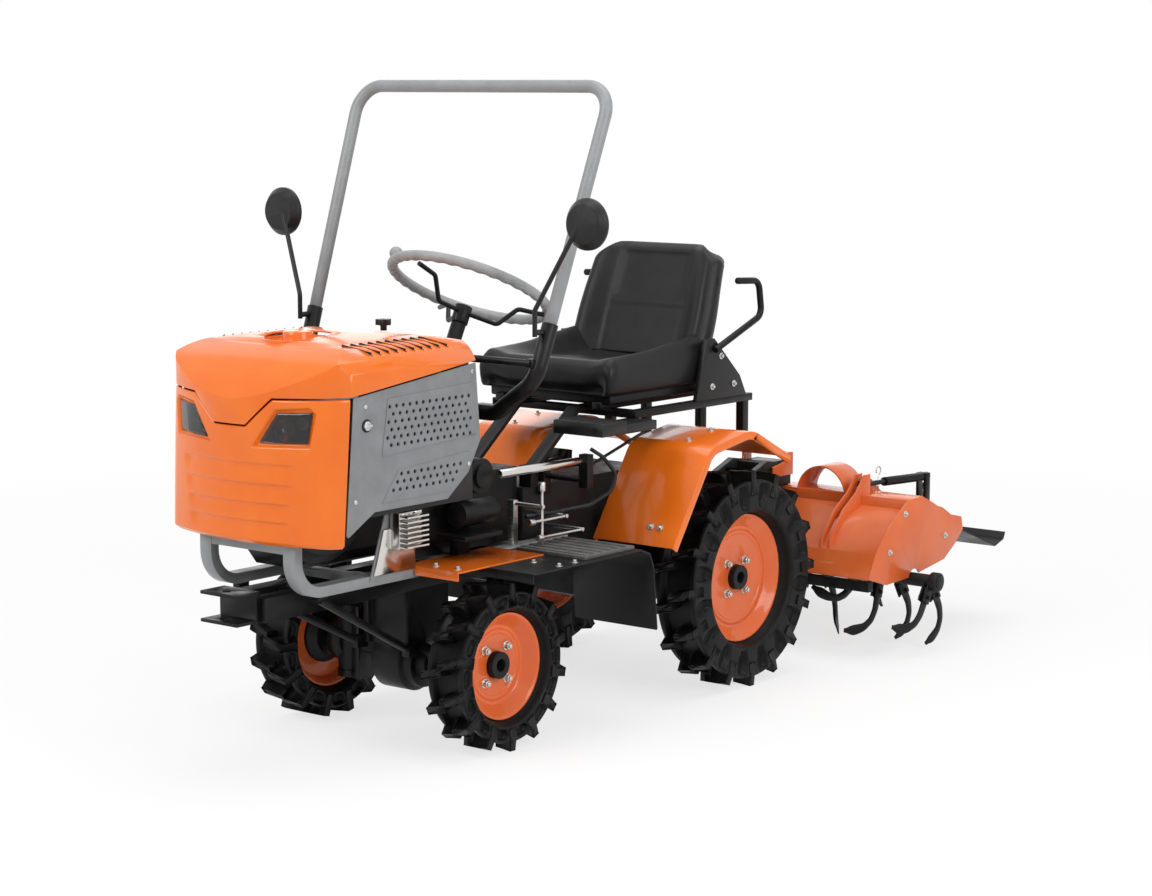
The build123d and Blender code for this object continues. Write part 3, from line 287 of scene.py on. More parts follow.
# Name, place, aim, side and watts
SOFTBOXES = (
    ("key_softbox", (-1.5, -5.5, 4.5), (0, -0.3, 0.6), 3.0, 190.0),
    ("side_softbox", (5.5, -1.0, 3.2), (0, 0, 0.6), 3.0, 150.0),
    ("top_softbox", (0.5, 0.2, 5.5), (0, 0, 0.5), 4.0, 130.0),
    ("back_softbox", (-4.5, 5.2, 2.6), (0, 0, 0.9), 4.5, 55.0),
)


class CULTIVATOR_OT_stage(bpy.types.Operator):
    """Sets up the pale floor, the soft lamps, the world and the camera of the photo"""

    bl_idname = "cultivator.stage"
    bl_label = "Studio"

    def execute(self, context):
        settings = context.scene.cultivator_stage
        self.make_floor(settings.floor_size)
        self.make_world(context.scene)
        self.make_lamps()
        self.make_camera(context.scene, settings)
        context.scene.view_settings.view_transform = "Standard"
        return {"FINISHED"}

    def shown(self, holder):
        """1 for the rays that should see white: the camera's, and those off gloss or through glass."""
        path = node(holder, "ShaderNodeLightPath")
        first = node(holder, "ShaderNodeMath", settings={"operation": "ADD", "use_clamp": True},
                     links={0: path.outputs["Is Camera Ray"], 1: path.outputs["Is Glossy Ray"]})
        second = node(holder, "ShaderNodeMath", settings={"operation": "ADD", "use_clamp": True},
                      links={0: first.outputs[0], 1: path.outputs["Is Transmission Ray"]})
        return second.outputs[0]

    def make_floor(self, half):
        """A white floor: it glows for the camera and in reflections, and keeps a soft shadow."""
        work = bmesh.new()
        bmesh.ops.create_grid(work, x_segments=1, y_segments=1, size=half)
        floor = new_piece("floor", work)
        material = blank_material("studio_floor")
        place = node(material, "ShaderNodeTexCoord")
        away = node(material, "ShaderNodeVectorMath", settings={"operation": "LENGTH"},
                    links={0: place.outputs["Object"]})
        fade = node(material, "ShaderNodeMapRange", links={"Value": away.outputs["Value"]},
                    sockets=FLOOR_GLOW)
        share = node(material, "ShaderNodeMath", settings={"operation": "MULTIPLY"},
                     links={0: self.shown(material), 1: fade.outputs["Result"]})
        matt = node(material, "ShaderNodeBsdfDiffuse", sockets={"Color": hex_colour("F4F4F4")})
        glow = node(material, "ShaderNodeEmission", sockets={"Color": (1, 1, 1, 1), "Strength": 1.0})
        mix = node(material, "ShaderNodeMixShader",
                   links={0: share.outputs[0], 1: matt.outputs[0], 2: glow.outputs[0]})
        floor.data.materials.append(finish_material(material, mix.outputs[0]))

    def make_world(self, scene):
        """White to the camera, in reflections and through glass; a plain soft fill on everything else."""
        world = bpy.data.worlds.new("studio_world")
        scene.world = world
        world.use_nodes = True
        world.node_tree.nodes.clear()
        strength = node(world, "ShaderNodeMapRange", links={"Value": self.shown(world)},
                        sockets={"To Min": WORLD_FILL, "To Max": 1.0})
        glow = node(world, "ShaderNodeBackground", links={"Strength": strength.outputs[0]},
                    sockets={"Color": (1, 1, 1, 1)})
        node(world, "ShaderNodeOutputWorld", links={"Surface": glow.outputs[0]})

    def make_lamps(self):
        """Four soft boxes: a high key at the camera's left, a fill at its right, one overhead, one behind."""
        for name, place, aim, size, power in SOFTBOXES:
            lamp = bpy.data.lights.new(name, "AREA")
            lamp.shape = "SQUARE"
            lamp.size = size
            lamp.energy = power
            holder = bpy.data.objects.new(name, lamp)
            bpy.context.scene.collection.objects.link(holder)
            holder.location = place
            holder.rotation_mode = "QUATERNION"
            holder.rotation_quaternion = (Vector(aim) - Vector(place)).to_track_quat("-Z", "Y")

    def make_camera(self, scene, settings):
        """The photo's camera."""
        data = bpy.data.cameras.new("photo_camera")
        data.sensor_width = 36.0
        data.lens = settings.camera_lens
        camera = bpy.data.objects.new("photo_camera", data)
        scene.collection.objects.link(camera)
        turn, dip = settings.camera_azimuth, settings.camera_pitch
        ahead = Vector((-sin(turn) * cos(dip), cos(turn) * cos(dip), -sin(dip)))
        camera.location = settings.camera_place
        camera.rotation_mode = "QUATERNION"
        camera.rotation_quaternion = ahead.to_track_quat("-Z", "Y")
        scene.camera = camera


# Mesh helpers

WASHER_RADIUS = 9 * MM


def new_piece(name, work, material=None):
    """Turns a bmesh into a smooth object at the origin, with its normals pointing out."""
    mesh = bpy.data.meshes.new(name)
    bmesh.ops.recalc_face_normals(work, faces=work.faces)
    for face in work.faces:
        face.smooth = True
    work.to_mesh(mesh)
    work.free()
    piece = bpy.data.objects.new(name, mesh)
    bpy.context.scene.collection.objects.link(piece)
    if material is not None:
        piece.data.materials.append(finishes()[material])
    return piece


def fit(name, work, slot, body, replaced=()):
    """A finished piece: it takes the finish of a record slot, rides on a body and may stand for nodes."""
    piece = new_piece(name, work, slot)
    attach(piece, body)
    if replaced:
        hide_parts(*replaced)
    return piece


def join(work, shape):
    """Adds a bmesh to another and frees it."""
    mesh = bpy.data.meshes.new("joined")
    shape.to_mesh(mesh)
    work.from_mesh(mesh)
    bpy.data.meshes.remove(mesh)
    shape.free()


def soften(work, verts, width, sharp=radians(35)):
    """Bevels the edges of some vertices that are sharper than an angle."""
    chosen = set(verts)
    edges = [e for e in work.edges if e.verts[0] in chosen and e.verts[1] in chosen
             and len(e.link_faces) == 2 and e.calc_face_angle(0.0) > sharp]
    if width and edges:
        bmesh.ops.bevel(work, geom=edges, offset=width, offset_type="OFFSET", segments=2, profile=0.5,
                        affect="EDGES", material=-1, clamp_overlap=True)


def along(start, end):
    """The matrix that lays a shape's Z from one point to another, about their middle."""
    start, end = Vector(start), Vector(end)
    return Matrix.Translation((start + end) / 2) @ (end - start).to_track_quat("Z", "Y").to_matrix().to_4x4()


def rod(work, start, end, radius, tip=None, segments=24, round_edge=0.0):
    """Adds a round or many-sided bar between two points, tapered when the tip's radius differs."""
    made = bmesh.ops.create_cone(work, cap_ends=True, segments=segments, radius1=radius,
                                 radius2=radius if tip is None else tip,
                                 depth=(Vector(end) - Vector(start)).length, matrix=along(start, end))
    soften(work, made["verts"], round_edge)


def block(work, low, high, round_edge):
    """Adds a block between two corners, with rounded edges."""
    low, high = Vector(low), Vector(high)
    size = high - low
    made = bmesh.ops.create_cube(work, size=1.0, matrix=Matrix.Translation((low + high) / 2)
                                 @ Matrix.Diagonal((abs(size.x), abs(size.y), abs(size.z), 1.0)))
    soften(work, made["verts"], round_edge)


def block_between(work, start, end, width, height):
    """Adds a flat bar between two points."""
    start, end = Vector(start), Vector(end)
    made = bmesh.ops.create_cube(work, size=1.0, matrix=along(start, end)
                                 @ Matrix.Diagonal((height, width, (end - start).length, 1.0)))
    soften(work, made["verts"], min(width, height) * 0.3)


def bolt(work, place, out, across):
    """Adds a hexagon bolt head on its washer; out is the way it faces."""
    place, out = Vector(place), Vector(out).normalized()
    rod(work, place - out * 0.5 * MM, place + out * 1.8 * MM, WASHER_RADIUS, segments=28, round_edge=0.4 * MM)
    rod(work, place + out * 1.5 * MM, place + out * 8 * MM, across / 2, across / 2 * 0.97, segments=6,
        round_edge=0.5 * MM)


def between(rows, share):
    """Reads a table of (share, values...) at a share, along straight stretches."""
    for first, second in zip(rows, rows[1:]):
        if share <= second[0]:
            step = (share - first[0]) / (second[0] - first[0])
            return [a + (b - a) * step for a, b in zip(first[1:], second[1:])]
    return list(rows[-1][1:])


def smooth_step(value, low, high):
    """0 below low, 1 above high, and a smooth rise between them."""
    share = min(max((value - low) / (high - low), 0.0), 1.0)
    return share * share * (3 - 2 * share)


def divide(piece, levels):
    """Finishes a piece with a Subdivision Surface."""
    modifier = piece.modifiers.new("rounding", "SUBSURF")
    modifier.levels = modifier.render_levels = levels


# Tyres: the axle's y and z, the radii of lug tips, shoulders, tread, bead and rim, the rim's outer face and
# width, the sidewalls' x, the lugs on a side, and how far the wheel nuts lie behind the rim's face

TYRES = {
    "front": dict(y=FRONT_AXLE_Y, z=FRONT_AXLE_Z, tip=0.2075, ring=0.186, tread=0.168, bead=0.126,
                  rim_r=0.132, rim_x=0.325, rim_width=0.064, inner=0.236, outer=0.349, lugs=14, nuts=32 * MM),
    "rear": dict(y=REAR_AXLE_Y, z=REAR_AXLE_Z, tip=0.292, ring=0.268, tread=0.246, bead=0.166,
                 rim_r=0.173, rim_x=0.366, rim_width=0.072, inner=0.275, outer=0.401, lugs=16, nuts=24 * MM),
}
STEPS_A_PITCH = 24
SHOULDER, WINDOW_DEPTH = 17 * MM, 15 * MM
LUG_SLANT, LUG_THICK, LUG_ROOT, LUG_PAST_MIDDLE, LUG_PROUD = 16 * MM, 20 * MM, 12 * MM, 4 * MM, 2 * MM
TIP_ROUND, TIP_GAP = 2.2 * MM, 0.3 * MM     # the gap keeps the rounded tips above the floor


class CULTIVATOR_OT_tyres(bpy.types.Operator):
    """Moulds the four paddy tyres: round carcass, windows round both sidewalls and tall slanted lugs"""

    bl_idname = "cultivator.tyres"
    bl_label = "Tyres"

    def execute(self, context):
        for end, w in TYRES.items():
            shape = bmesh.new()
            self.carcass(shape, w)
            for face_side in (1, -1):
                self.lugs(shape, w, face_side)
            for side, hand in ((1, "left"), (-1, "right")):
                work = shape.copy()
                bmesh.ops.scale(work, verts=work.verts, vec=(side, 1, 1))
                fit(f"tyre_{end}_{hand}_moulded", work, "tyre", f"wheel_{end}_{hand}",
                    (f"tyre_{end}_{hand}",))
            shape.free()
        return {"FINISHED"}

    def section(self, w):
        """The carcass's closed section, as (x, radius): seats, sidewalls, shoulders and groove."""
        middle = (w["inner"] + w["outer"]) / 2
        half = w["outer"] - middle
        wall_foot, wall_head = w["rim_r"] + 18 * MM, w["ring"] - 5 * MM
        wall = [(half, wall_foot + (wall_head - wall_foot) * i / 9) for i in range(10)]
        seat = w["rim_x"] - 8 * MM - middle
        outer_half = [(seat, w["bead"] + 1 * MM), (seat + 7 * MM, w["rim_r"] + 3 * MM),
                      (half - 12 * MM, w["rim_r"] + 9 * MM), (half - 4 * MM, w["rim_r"] + 12 * MM), *wall,
                      (half - 2 * MM, w["ring"] - 1 * MM), (half - 6 * MM, w["ring"]),
                      (half - SHOULDER + 3 * MM, w["ring"]), (half - SHOULDER, w["ring"] - 3 * MM),
                      (half - SHOULDER - 2 * MM, w["tread"] + 3 * MM),
                      (half - SHOULDER - 7 * MM, w["tread"])]
        seat_in = middle - (w["rim_x"] - w["rim_width"] + 8 * MM)
        (_, low), (_, high), *others = outer_half
        inner_half = [(seat_in, low), (seat_in + 7 * MM, high), *others]
        return [(middle + x, r) for x, r in outer_half] + [(middle - x, r) for x, r in reversed(inner_half)]

    def carcass(self, work, w):
        """Spins the section and presses the windows into the sidewalls."""
        outline = [work.verts.new((x, w["y"], w["z"] - r)) for x, r in self.section(w)]
        edges = [work.edges.new((a, b)) for a, b in zip(outline, outline[1:] + outline[:1])]
        bmesh.ops.spin(work, geom=outline + edges, cent=(0, w["y"], w["z"]), axis=(1, 0, 0), angle=2 * pi,
                       steps=STEPS_A_PITCH * w["lugs"], use_merge=True)
        pitch = 2 * pi / w["lugs"]
        foot, head = w["rim_r"] + 20 * MM, w["ring"] - 6 * MM
        for vert in work.verts:
            y, z = vert.co.y - w["y"], vert.co.z - w["z"]
            radius, turn = hypot(y, z), atan2(y, -z)
            for side, face, start in ((1, w["outer"], 0.5), (-1, w["inner"], 0.0)):
                if abs(vert.co.x - face) > 0.5 * MM:
                    continue
                off = (turn / pitch - start + 0.5) % 1.0 - 0.5
                share = (radius - foot) / (head - foot)
                belly, neck = smooth_step(share, -0.1, 0.55), smooth_step(share, 0.6, 1.05)
                half_width = (11 + 12 * belly - 5 * neck) * MM
                inside = min(half_width - abs(off * pitch * radius), radius - foot, head - radius)
                vert.co.x -= side * WINDOW_DEPTH * smooth_step(inside, -1 * MM, 4 * MM)

    def lug(self, w, face_side):
        """One slanted, tapered lug at the lowest point, from the shoulder to just past the middle."""
        face = w["outer"] if face_side == 1 else w["inner"]
        reach = (w["outer"] - w["inner"]) / 2 + LUG_PAST_MIDDLE
        foot = w["tread"] - LUG_ROOT
        one = bmesh.new()
        bmesh.ops.create_cube(one, size=1.0)
        bmesh.ops.subdivide_edges(one, edges=list(one.edges), cuts=1, use_grid_fill=True)
        for vert in one.verts:
            share, height = vert.co.x + 0.5, vert.co.z + 0.5
            sideways = vert.co.y * LUG_THICK * (1.12 - 0.2 * height) + LUG_SLANT * share
            sunk = 5 * MM * (1 - height) * (1 - share)
            radius = foot - sunk + (w["tip"] - 0.6 * MM - foot + sunk) * height
            radius = min(radius, sqrt(w["tip"] ** 2 - sideways ** 2) - TIP_GAP)
            lean_in = 4 * MM * height if share < 0.1 else 0.0
            across = face - face_side * (reach * share + lean_in - LUG_PROUD * (1 - share))
            vert.co = (across, w["y"] + sideways * face_side, w["z"] - radius)
        soften(one, list(one.verts), TIP_ROUND, sharp=radians(50))
        for vert in one.verts:
            y, z = vert.co.y - w["y"], vert.co.z - w["z"]
            shrink = min(1.0, (w["tip"] - TIP_GAP) / hypot(y, z))
            vert.co.y, vert.co.z = w["y"] + y * shrink, w["z"] + z * shrink
        return one

    def lugs(self, work, w, face_side):
        """Adds one side's row of lugs; the rows are half a pitch apart."""
        one = self.lug(w, face_side)
        axle = Matrix.Translation((0, w["y"], w["z"]))
        for number in range(w["lugs"]):
            turn = (number + (0 if face_side == 1 else 0.5)) * 2 * pi / w["lugs"]
            turned = one.copy()
            turned.transform(axle @ Matrix.Rotation(turn, 4, "X") @ axle.inverted())
            join(work, turned)
        one.free()


# Seat

CUSHION_GRID, BACK_GRID = (44, 56), (44, 44)
# Share of the way back or up, distance from the front, height
CUSHION_CURVE = ((0.0, 0.020, 0.818), (0.05, 0.006, 0.834), (0.10, 0.000, 0.858), (0.15, 0.006, 0.880),
                 (0.20, 0.030, 0.896), (0.35, 0.100, 0.893), (0.55, 0.205, 0.884), (0.80, 0.330, 0.880),
                 (1.0, 0.430, 0.886))
BACK_CURVE = ((0.0, 0.405, 0.872), (0.25, 0.432, 0.945), (0.6, 0.468, 1.055), (0.9, 0.503, 1.150),
              (1.0, 0.520, 1.176))
CUSHION_RIBS = (0.42, 0.52, 0.62, 0.72)


class CULTIVATOR_OT_seat(bpy.types.Operator):
    """Upholsters the moulded seat: a dished cushion with side bolsters and a winged backrest"""

    bl_idname = "cultivator.seat"
    bl_label = "Seat"

    def execute(self, context):
        low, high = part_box("seat")
        half = (high[0] - low[0]) / 2 - 3 * MM
        front, floor = low[1] + 6 * MM, low[2] + 6 * MM
        cushion = self.pad("seat_cushion", CUSHION_GRID, lambda u, v: self.cushion_top(u, v, half, front),
                           lambda p, u, v: Vector((p.x * 0.965, p.y + 0.03 * (0.5 - v) ** 3, floor + 2 * MM)))
        back = self.pad("seat_backrest", BACK_GRID, lambda u, v: self.back_face(u, v, half, front),
                        lambda p, u, v: p + Vector((-p.x * 0.05, 0.050 - 0.018 * v, -0.008 - 0.012 * v)))
        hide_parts("seat")
        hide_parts("seat")
        work = bmesh.new()
        block(work, (-0.205, front + 0.03, 0.781), (0.205, front + 0.53, floor + 4 * MM), 6 * MM)
        for side in (1, -1):
            block(work, (side * 0.150, front + 0.02, 0.768), (side * 0.180, front + 0.56, 0.790), 3 * MM)
        fit("seat_pan", work, "black_steel", "chassis")
        return {"FINISHED"}

    def pad(self, name, grid, surface, behind):
        """A closed pad: a grid laid on a surface, given a back and walls, then rounded."""
        work = bmesh.new()
        bmesh.ops.create_grid(work, x_segments=grid[0], y_segments=grid[1], size=1.0)
        places = {vert: (vert.co.x, (vert.co.y + 1) / 2) for vert in work.verts}
        made = bmesh.ops.extrude_face_region(work, geom=list(work.faces), use_keep_orig=True)
        copies = [g for g in made["geom"] if isinstance(g, bmesh.types.BMVert)]
        origin = {(round(v.co.x, 5), round(v.co.y, 5)): uv for v, uv in places.items()}
        for vert in copies:
            u, v = origin[(round(vert.co.x, 5), round(vert.co.y, 5))]
            vert.co = behind(surface(u, v), u, v)
        for vert, (u, v) in places.items():
            vert.co = surface(u, v)
        piece = fit(name, work, "seat_vinyl", "chassis")
        divide(piece, 1)
        return piece

    def cushion_top(self, u, v, half, front):
        """The cushion's upper face: a rolled front edge, ribs across, and bolsters that rise to the back."""
        y, z = between(CUSHION_CURVE, v)
        corner = 1 - 0.16 * (1 - smooth_step(v, 0.0, 0.22)) ** 1.5
        edge = abs(u)
        rise = smooth_step(edge, 0.62, 0.90) * (0.010 + 0.052 * smooth_step(v, 0.15, 0.95))
        fall = 0.055 * smooth_step(edge, 0.90, 1.02) * (0.25 + 0.75 * smooth_step(v, 0.05, 0.35))
        rib = sum(exp(-((v - centre) / 0.012) ** 2) for centre in CUSHION_RIBS)
        trough = exp(-((edge - 0.64) / 0.025) ** 2) * smooth_step(v, 0.2, 0.35)
        z += rise - fall - 0.006 * rib * (1 - smooth_step(edge, 0.5, 0.62)) - 0.005 * trough
        z -= 0.012 * (1 - edge ** 2) * smooth_step(v, 0.2, 0.5)
        return Vector((u * half * corner, front + y, z))

    def back_face(self, u, v, half, front):
        """The backrest's front face: wings at the sides, a sunk panel with its seam, round top corners."""
        y, z = between(BACK_CURVE, v)
        edge = abs(u)
        top_corner = 1 - sqrt(1 - max(v - 0.82, 0.0) ** 2 / 0.0325)
        width = half * (1 - 0.07 * smooth_step(v, 0.3, 1.0) - 0.17 * top_corner)
        wing = 0.038 * smooth_step(edge, 0.55, 0.86) * (1 - 0.45 * v)
        roll = 0.030 * smooth_step(edge, 0.88, 1.02) + 0.020 * smooth_step(v, 0.93, 1.01)
        in_panel = min(0.52 - edge, (v - 0.50) * 1.4, (0.90 - v) * 1.4)
        panel = 0.006 * smooth_step(in_panel, -0.01, 0.03)
        seams = 0.004 * exp(-((v - 0.42) / 0.012) ** 2) * (1 - smooth_step(edge, 0.52, 0.6))
        seams += 0.004 * exp(-((edge - 0.57) / 0.02) ** 2)
        y += roll - wing + panel + seams
        z -= 0.030 * smooth_step(edge, 0.75, 1.02) * smooth_step(v, 0.8, 1.0)
        return Vector((u * width, front + y, z))


# Bonnet nose and lamps: places across and up the nose, seen from the front, for its left half

SEAM = ((0.0, 0.8335), (0.050, 0.8335), (0.127, 0.8985), (0.320, 0.9035))
LAMP = ((0.088, 0.799), (0.206, 0.802), (0.218, 0.866), (0.210, 0.873), (0.138, 0.867))
LAMP_CORNERS = ((0.088, 0.799), (0.206, 0.802), (0.216, 0.871), (0.138, 0.867))
LAMP_SHEETS = (("lamp_lenses", "lamp_glass", 4.5, 2.5, 2), ("lamp_backs", "black_plastic", 22, 2, 14))
LAMP_BOWLS = ((0.150, 0.830, 26), (0.192, 0.846, 15))
# Height and half length
CREASES = ((0.752, 0.182), (0.705, 0.176), (0.660, 0.170), (0.617, 0.164))
CREASE_PITCH, CREASE_DEPTH, POCKET_DEPTH, FOOT_ROLL = 0.047, 5.5 * MM, 9 * MM, 12 * MM
NOSE_FOOT, NOSE_HEIGHT = 0.560, 0.345
NOSE_GRID, LAMP_GRID = (260, 150), (24, 12)
SHEET_STEEL = 2.5 * MM


def nose_curves(z):
    """The nose's plan at a height: front, big and corner radius, half width and depth to its rear edge."""
    rise = (z - NOSE_FOOT) / NOSE_HEIGHT
    front = -1.336 - 0.014 * rise
    rear = -1.255 + max(z - 0.577, 0.0) * 0.0686 - front
    return front, 0.70 - 0.22 * rise, 0.060 + 0.0533 * rise, 0.279 + 0.006 * rise, rear


def nose_place(u, z):
    """A point of the nose's face and the way inwards: u runs from -1 at one rear edge to 1 at the other."""
    front, big, small, half, rear = nose_curves(z)
    depth = big - sqrt((big - small) ** 2 - (half - small) ** 2)
    joint = asin((half - small) / (big - small))
    face, corner = big * joint, small * (acos((depth - rear) / small) - joint)
    run = abs(u) * (face + corner)
    turn = run / big if run < face else joint + (run - face) / small
    if run < face:
        x, y = big * sin(turn), big - big * cos(turn)
    else:
        x, y = half - small + small * sin(turn), depth - small * cos(turn)
    side = 1 if u > 0 else -1
    return Vector((side * x, front + y, z)), Vector((-side * sin(turn), cos(turn), 0))


def from_lamp(x, z):
    """How far a point is outside the lamp's outline; negative inside it."""
    gap = -1.0
    for (ax, az), (bx, bz) in zip(LAMP, LAMP[1:] + LAMP[:1]):
        long = hypot(bx - ax, bz - az)
        gap = max(gap, ((bz - az) * (abs(x) - ax) - (bx - ax) * (z - az)) / long)
    return gap


class CULTIVATOR_OT_nose(bpy.types.Operator):
    """Presses the bonnet's nose with its creased bands and lamp pockets, and fits bowls and lenses"""

    bl_idname = "cultivator.nose"
    bl_label = "Nose and lamps"

    def execute(self, context):
        work = bmesh.new()
        bmesh.ops.create_grid(work, x_segments=NOSE_GRID[0], y_segments=NOSE_GRID[1], size=1.0)
        for vert in work.verts:
            vert.co = self.pressed(vert.co.x, (vert.co.y + 1) / 2)
        in_lamp = [f for f in work.faces if all(from_lamp(v.co.x, v.co.z) < -2 * MM for v in f.verts)]
        bmesh.ops.delete(work, context="FACES", geom=in_lamp)
        nose = fit("bonnet_nose_pressed", work, "bonnet_orange", "bonnet", ("bonnet_nose",))
        sheet = nose.modifiers.new("sheet", "SOLIDIFY")
        sheet.thickness = SHEET_STEEL
        sheet.offset = -1
        for name, slot, inset, thick, grow in LAMP_SHEETS:
            work = bmesh.new()
            for side in (1, -1):
                self.patch(work, side, inset * MM, grow * MM)
            patch = fit(name, work, slot, "bonnet", ("headlamps",))
            wall = patch.modifiers.new("wall", "SOLIDIFY")
            wall.thickness = thick * MM
        work = bmesh.new()
        for side in (1, -1):
            for x, z, radius in LAMP_BOWLS:
                self.bowl(work, side, x, z, radius * MM)
        fit("lamp_bowls", work, "polished_plate", "bonnet")
        return {"FINISHED"}

    def pressed(self, u, v):
        """The nose's outer face with the creases, the lamp pockets and the rolled foot pressed in."""
        top = between(SEAM, abs(nose_place(u, 0.9)[0].x))[0]
        z = NOSE_FOOT + (top - NOSE_FOOT) * v
        place, inward = nose_place(u, z)
        depth = POCKET_DEPTH * (1 - smooth_step(from_lamp(place.x, z), 5 * MM, 13 * MM))
        for height, half in CREASES:
            below = (height - z) / CREASE_PITCH
            if 0 <= below <= 1:
                reach = 1 - smooth_step(abs(place.x), half - 25 * MM, half + 8 * MM)
                step, fade = smooth_step(below, 0.0, 0.12), 1 - smooth_step(below, 0.12, 1.0)
                depth += CREASE_DEPTH * reach * step * fade
        depth += 9 * MM * (1 - smooth_step(z, NOSE_FOOT, NOSE_FOOT + FOOT_ROLL)) ** 2
        depth += 3 * MM * (1 - smooth_step(top - z, 0.0, 4 * MM))
        return place + inward * depth

    def patch(self, work, side, inset, grow):
        """Adds a sheet of the lamp's outline, set in from the nose's face."""
        corners = [Vector(c) for c in LAMP_CORNERS]
        middle = sum(corners, Vector((0, 0))) / 4
        low_in, low_out, high_out, high_in = [c + (c - middle).normalized() * grow for c in corners]
        made = bmesh.ops.create_grid(work, x_segments=LAMP_GRID[0], y_segments=LAMP_GRID[1], size=0.5)
        for vert in made["verts"]:
            a, b = vert.co.x + 0.5, vert.co.y + 0.5
            x, z = low_in.lerp(low_out, a).lerp(high_in.lerp(high_out, a), b)
            vert.co = self.at(side, x, z, inset)

    def at(self, side, x, z, inset):
        """The point at x and z that lies inset behind the nose's face."""
        front, big, small, half, _ = nose_curves(z)
        depth = big - sqrt((big - small) ** 2 - (half - small) ** 2)
        if x < big * (half - small) / (big - small):
            y = big - sqrt(big ** 2 - x ** 2)
        else:
            y = depth - sqrt(small ** 2 - (x - half + small) ** 2)
        return Vector((side * x, front + y + inset * (1.15 if x > 0.17 else 1.05), z))

    def bowl(self, work, side, x, z, radius):
        """Adds a chrome bowl with a bulb, sunk behind the lens."""
        rim = self.at(side, x, z, 9 * MM)
        out = Vector((side * 0.35, -0.93, 0))
        rod(work, rim - out * 12 * MM, rim, radius * 0.6, radius, segments=36)
        rod(work, rim - out * 2 * MM, rim + out * 2 * MM, radius * 0.32, radius * 0.22, segments=24,
            round_edge=0.6 * MM)


# Steering wheel

WHEEL_CENTRE, WHEEL_TILT, WHEEL_RADIUS = Vector((0, -0.501, 1.096)), radians(26.7), 0.205
RIM_STEPS, RIM_SIDES, GRIPS = 360, 20, 36
RIM_THICK, GRIP_DEPTH = 13.5 * MM, 2.2 * MM
KNOB_TURN = radians(140)


class CULTIVATOR_OT_steering(bpy.types.Operator):
    """Moulds the grey steering wheel rim with its finger grips and its round knob"""

    bl_idname = "cultivator.steering"
    bl_label = "Steering wheel"

    def execute(self, context):
        axis = Vector((0, sin(WHEEL_TILT), cos(WHEEL_TILT)))
        forward = Vector((0, -cos(WHEEL_TILT), sin(WHEEL_TILT)))
        work = bmesh.new()
        place = Matrix.Translation(WHEEL_CENTRE) @ Matrix.Rotation(pi / 2 - WHEEL_TILT, 4, "X")
        bmesh.ops.create_circle(work, segments=RIM_SIDES, radius=RIM_THICK,
                                matrix=place @ Matrix.Translation((WHEEL_RADIUS, 0, 0)))
        bmesh.ops.spin(work, geom=list(work.verts) + list(work.edges), cent=WHEEL_CENTRE, axis=axis,
                       angle=2 * pi, steps=RIM_STEPS, use_merge=True)
        for vert in work.verts:
            height = (vert.co - WHEEL_CENTRE).dot(axis)
            flat = vert.co - WHEEL_CENTRE - axis * height
            turn, lean = atan2(flat.dot(forward), flat.x), atan2(flat.length - WHEEL_RADIUS, height)
            under = max(-cos(lean), 0.0)
            radius = RIM_THICK - GRIP_DEPTH * under * (0.5 + 0.5 * cos(GRIPS * turn))
            vert.co = (WHEEL_CENTRE + flat.normalized() * (WHEEL_RADIUS + radius * sin(lean))
                       + axis * radius * cos(lean))
        out = Vector((1, 0, 0)) * cos(KNOB_TURN) + forward * sin(KNOB_TURN)
        knob = WHEEL_CENTRE + out * WHEEL_RADIUS
        rod(work, knob + axis * 8 * MM, knob + axis * 22 * MM, 8 * MM, segments=28)
        bmesh.ops.create_uvsphere(work, u_segments=32, v_segments=18, radius=17 * MM,
                                  matrix=Matrix.Translation(knob + axis * 32 * MM))
        fit("steering_rim_moulded", work, "grip_grey", "steering_wheel", ("steering_rim",))
        return {"FINISHED"}


# Tiller rotor

ROTOR_AXIS = (0.8540, 0.2050)
# Where two tines each stand, in mm from the middle
STATIONS = (70, 132, 194, 256, 318, 380, 442, 548)
# Share of a tine's length, reach, swing ahead, bend aside
TINE_PATH = ((0.0, 0.022, 0.000, 0.0), (0.20, 0.062, -0.006, 0.0), (0.40, 0.102, -0.006, 0.0),
             (0.55, 0.134, 0.004, 0.002), (0.70, 0.158, 0.024, 0.010), (0.85, 0.172, 0.050, 0.026),
             (1.0, 0.177, 0.073, 0.044))
TINE_STEPS = 28
HOLDER_PLATE, HOLDER_GAP = (0.005, 0.052, 0.034, 1.0), 7.5 * MM


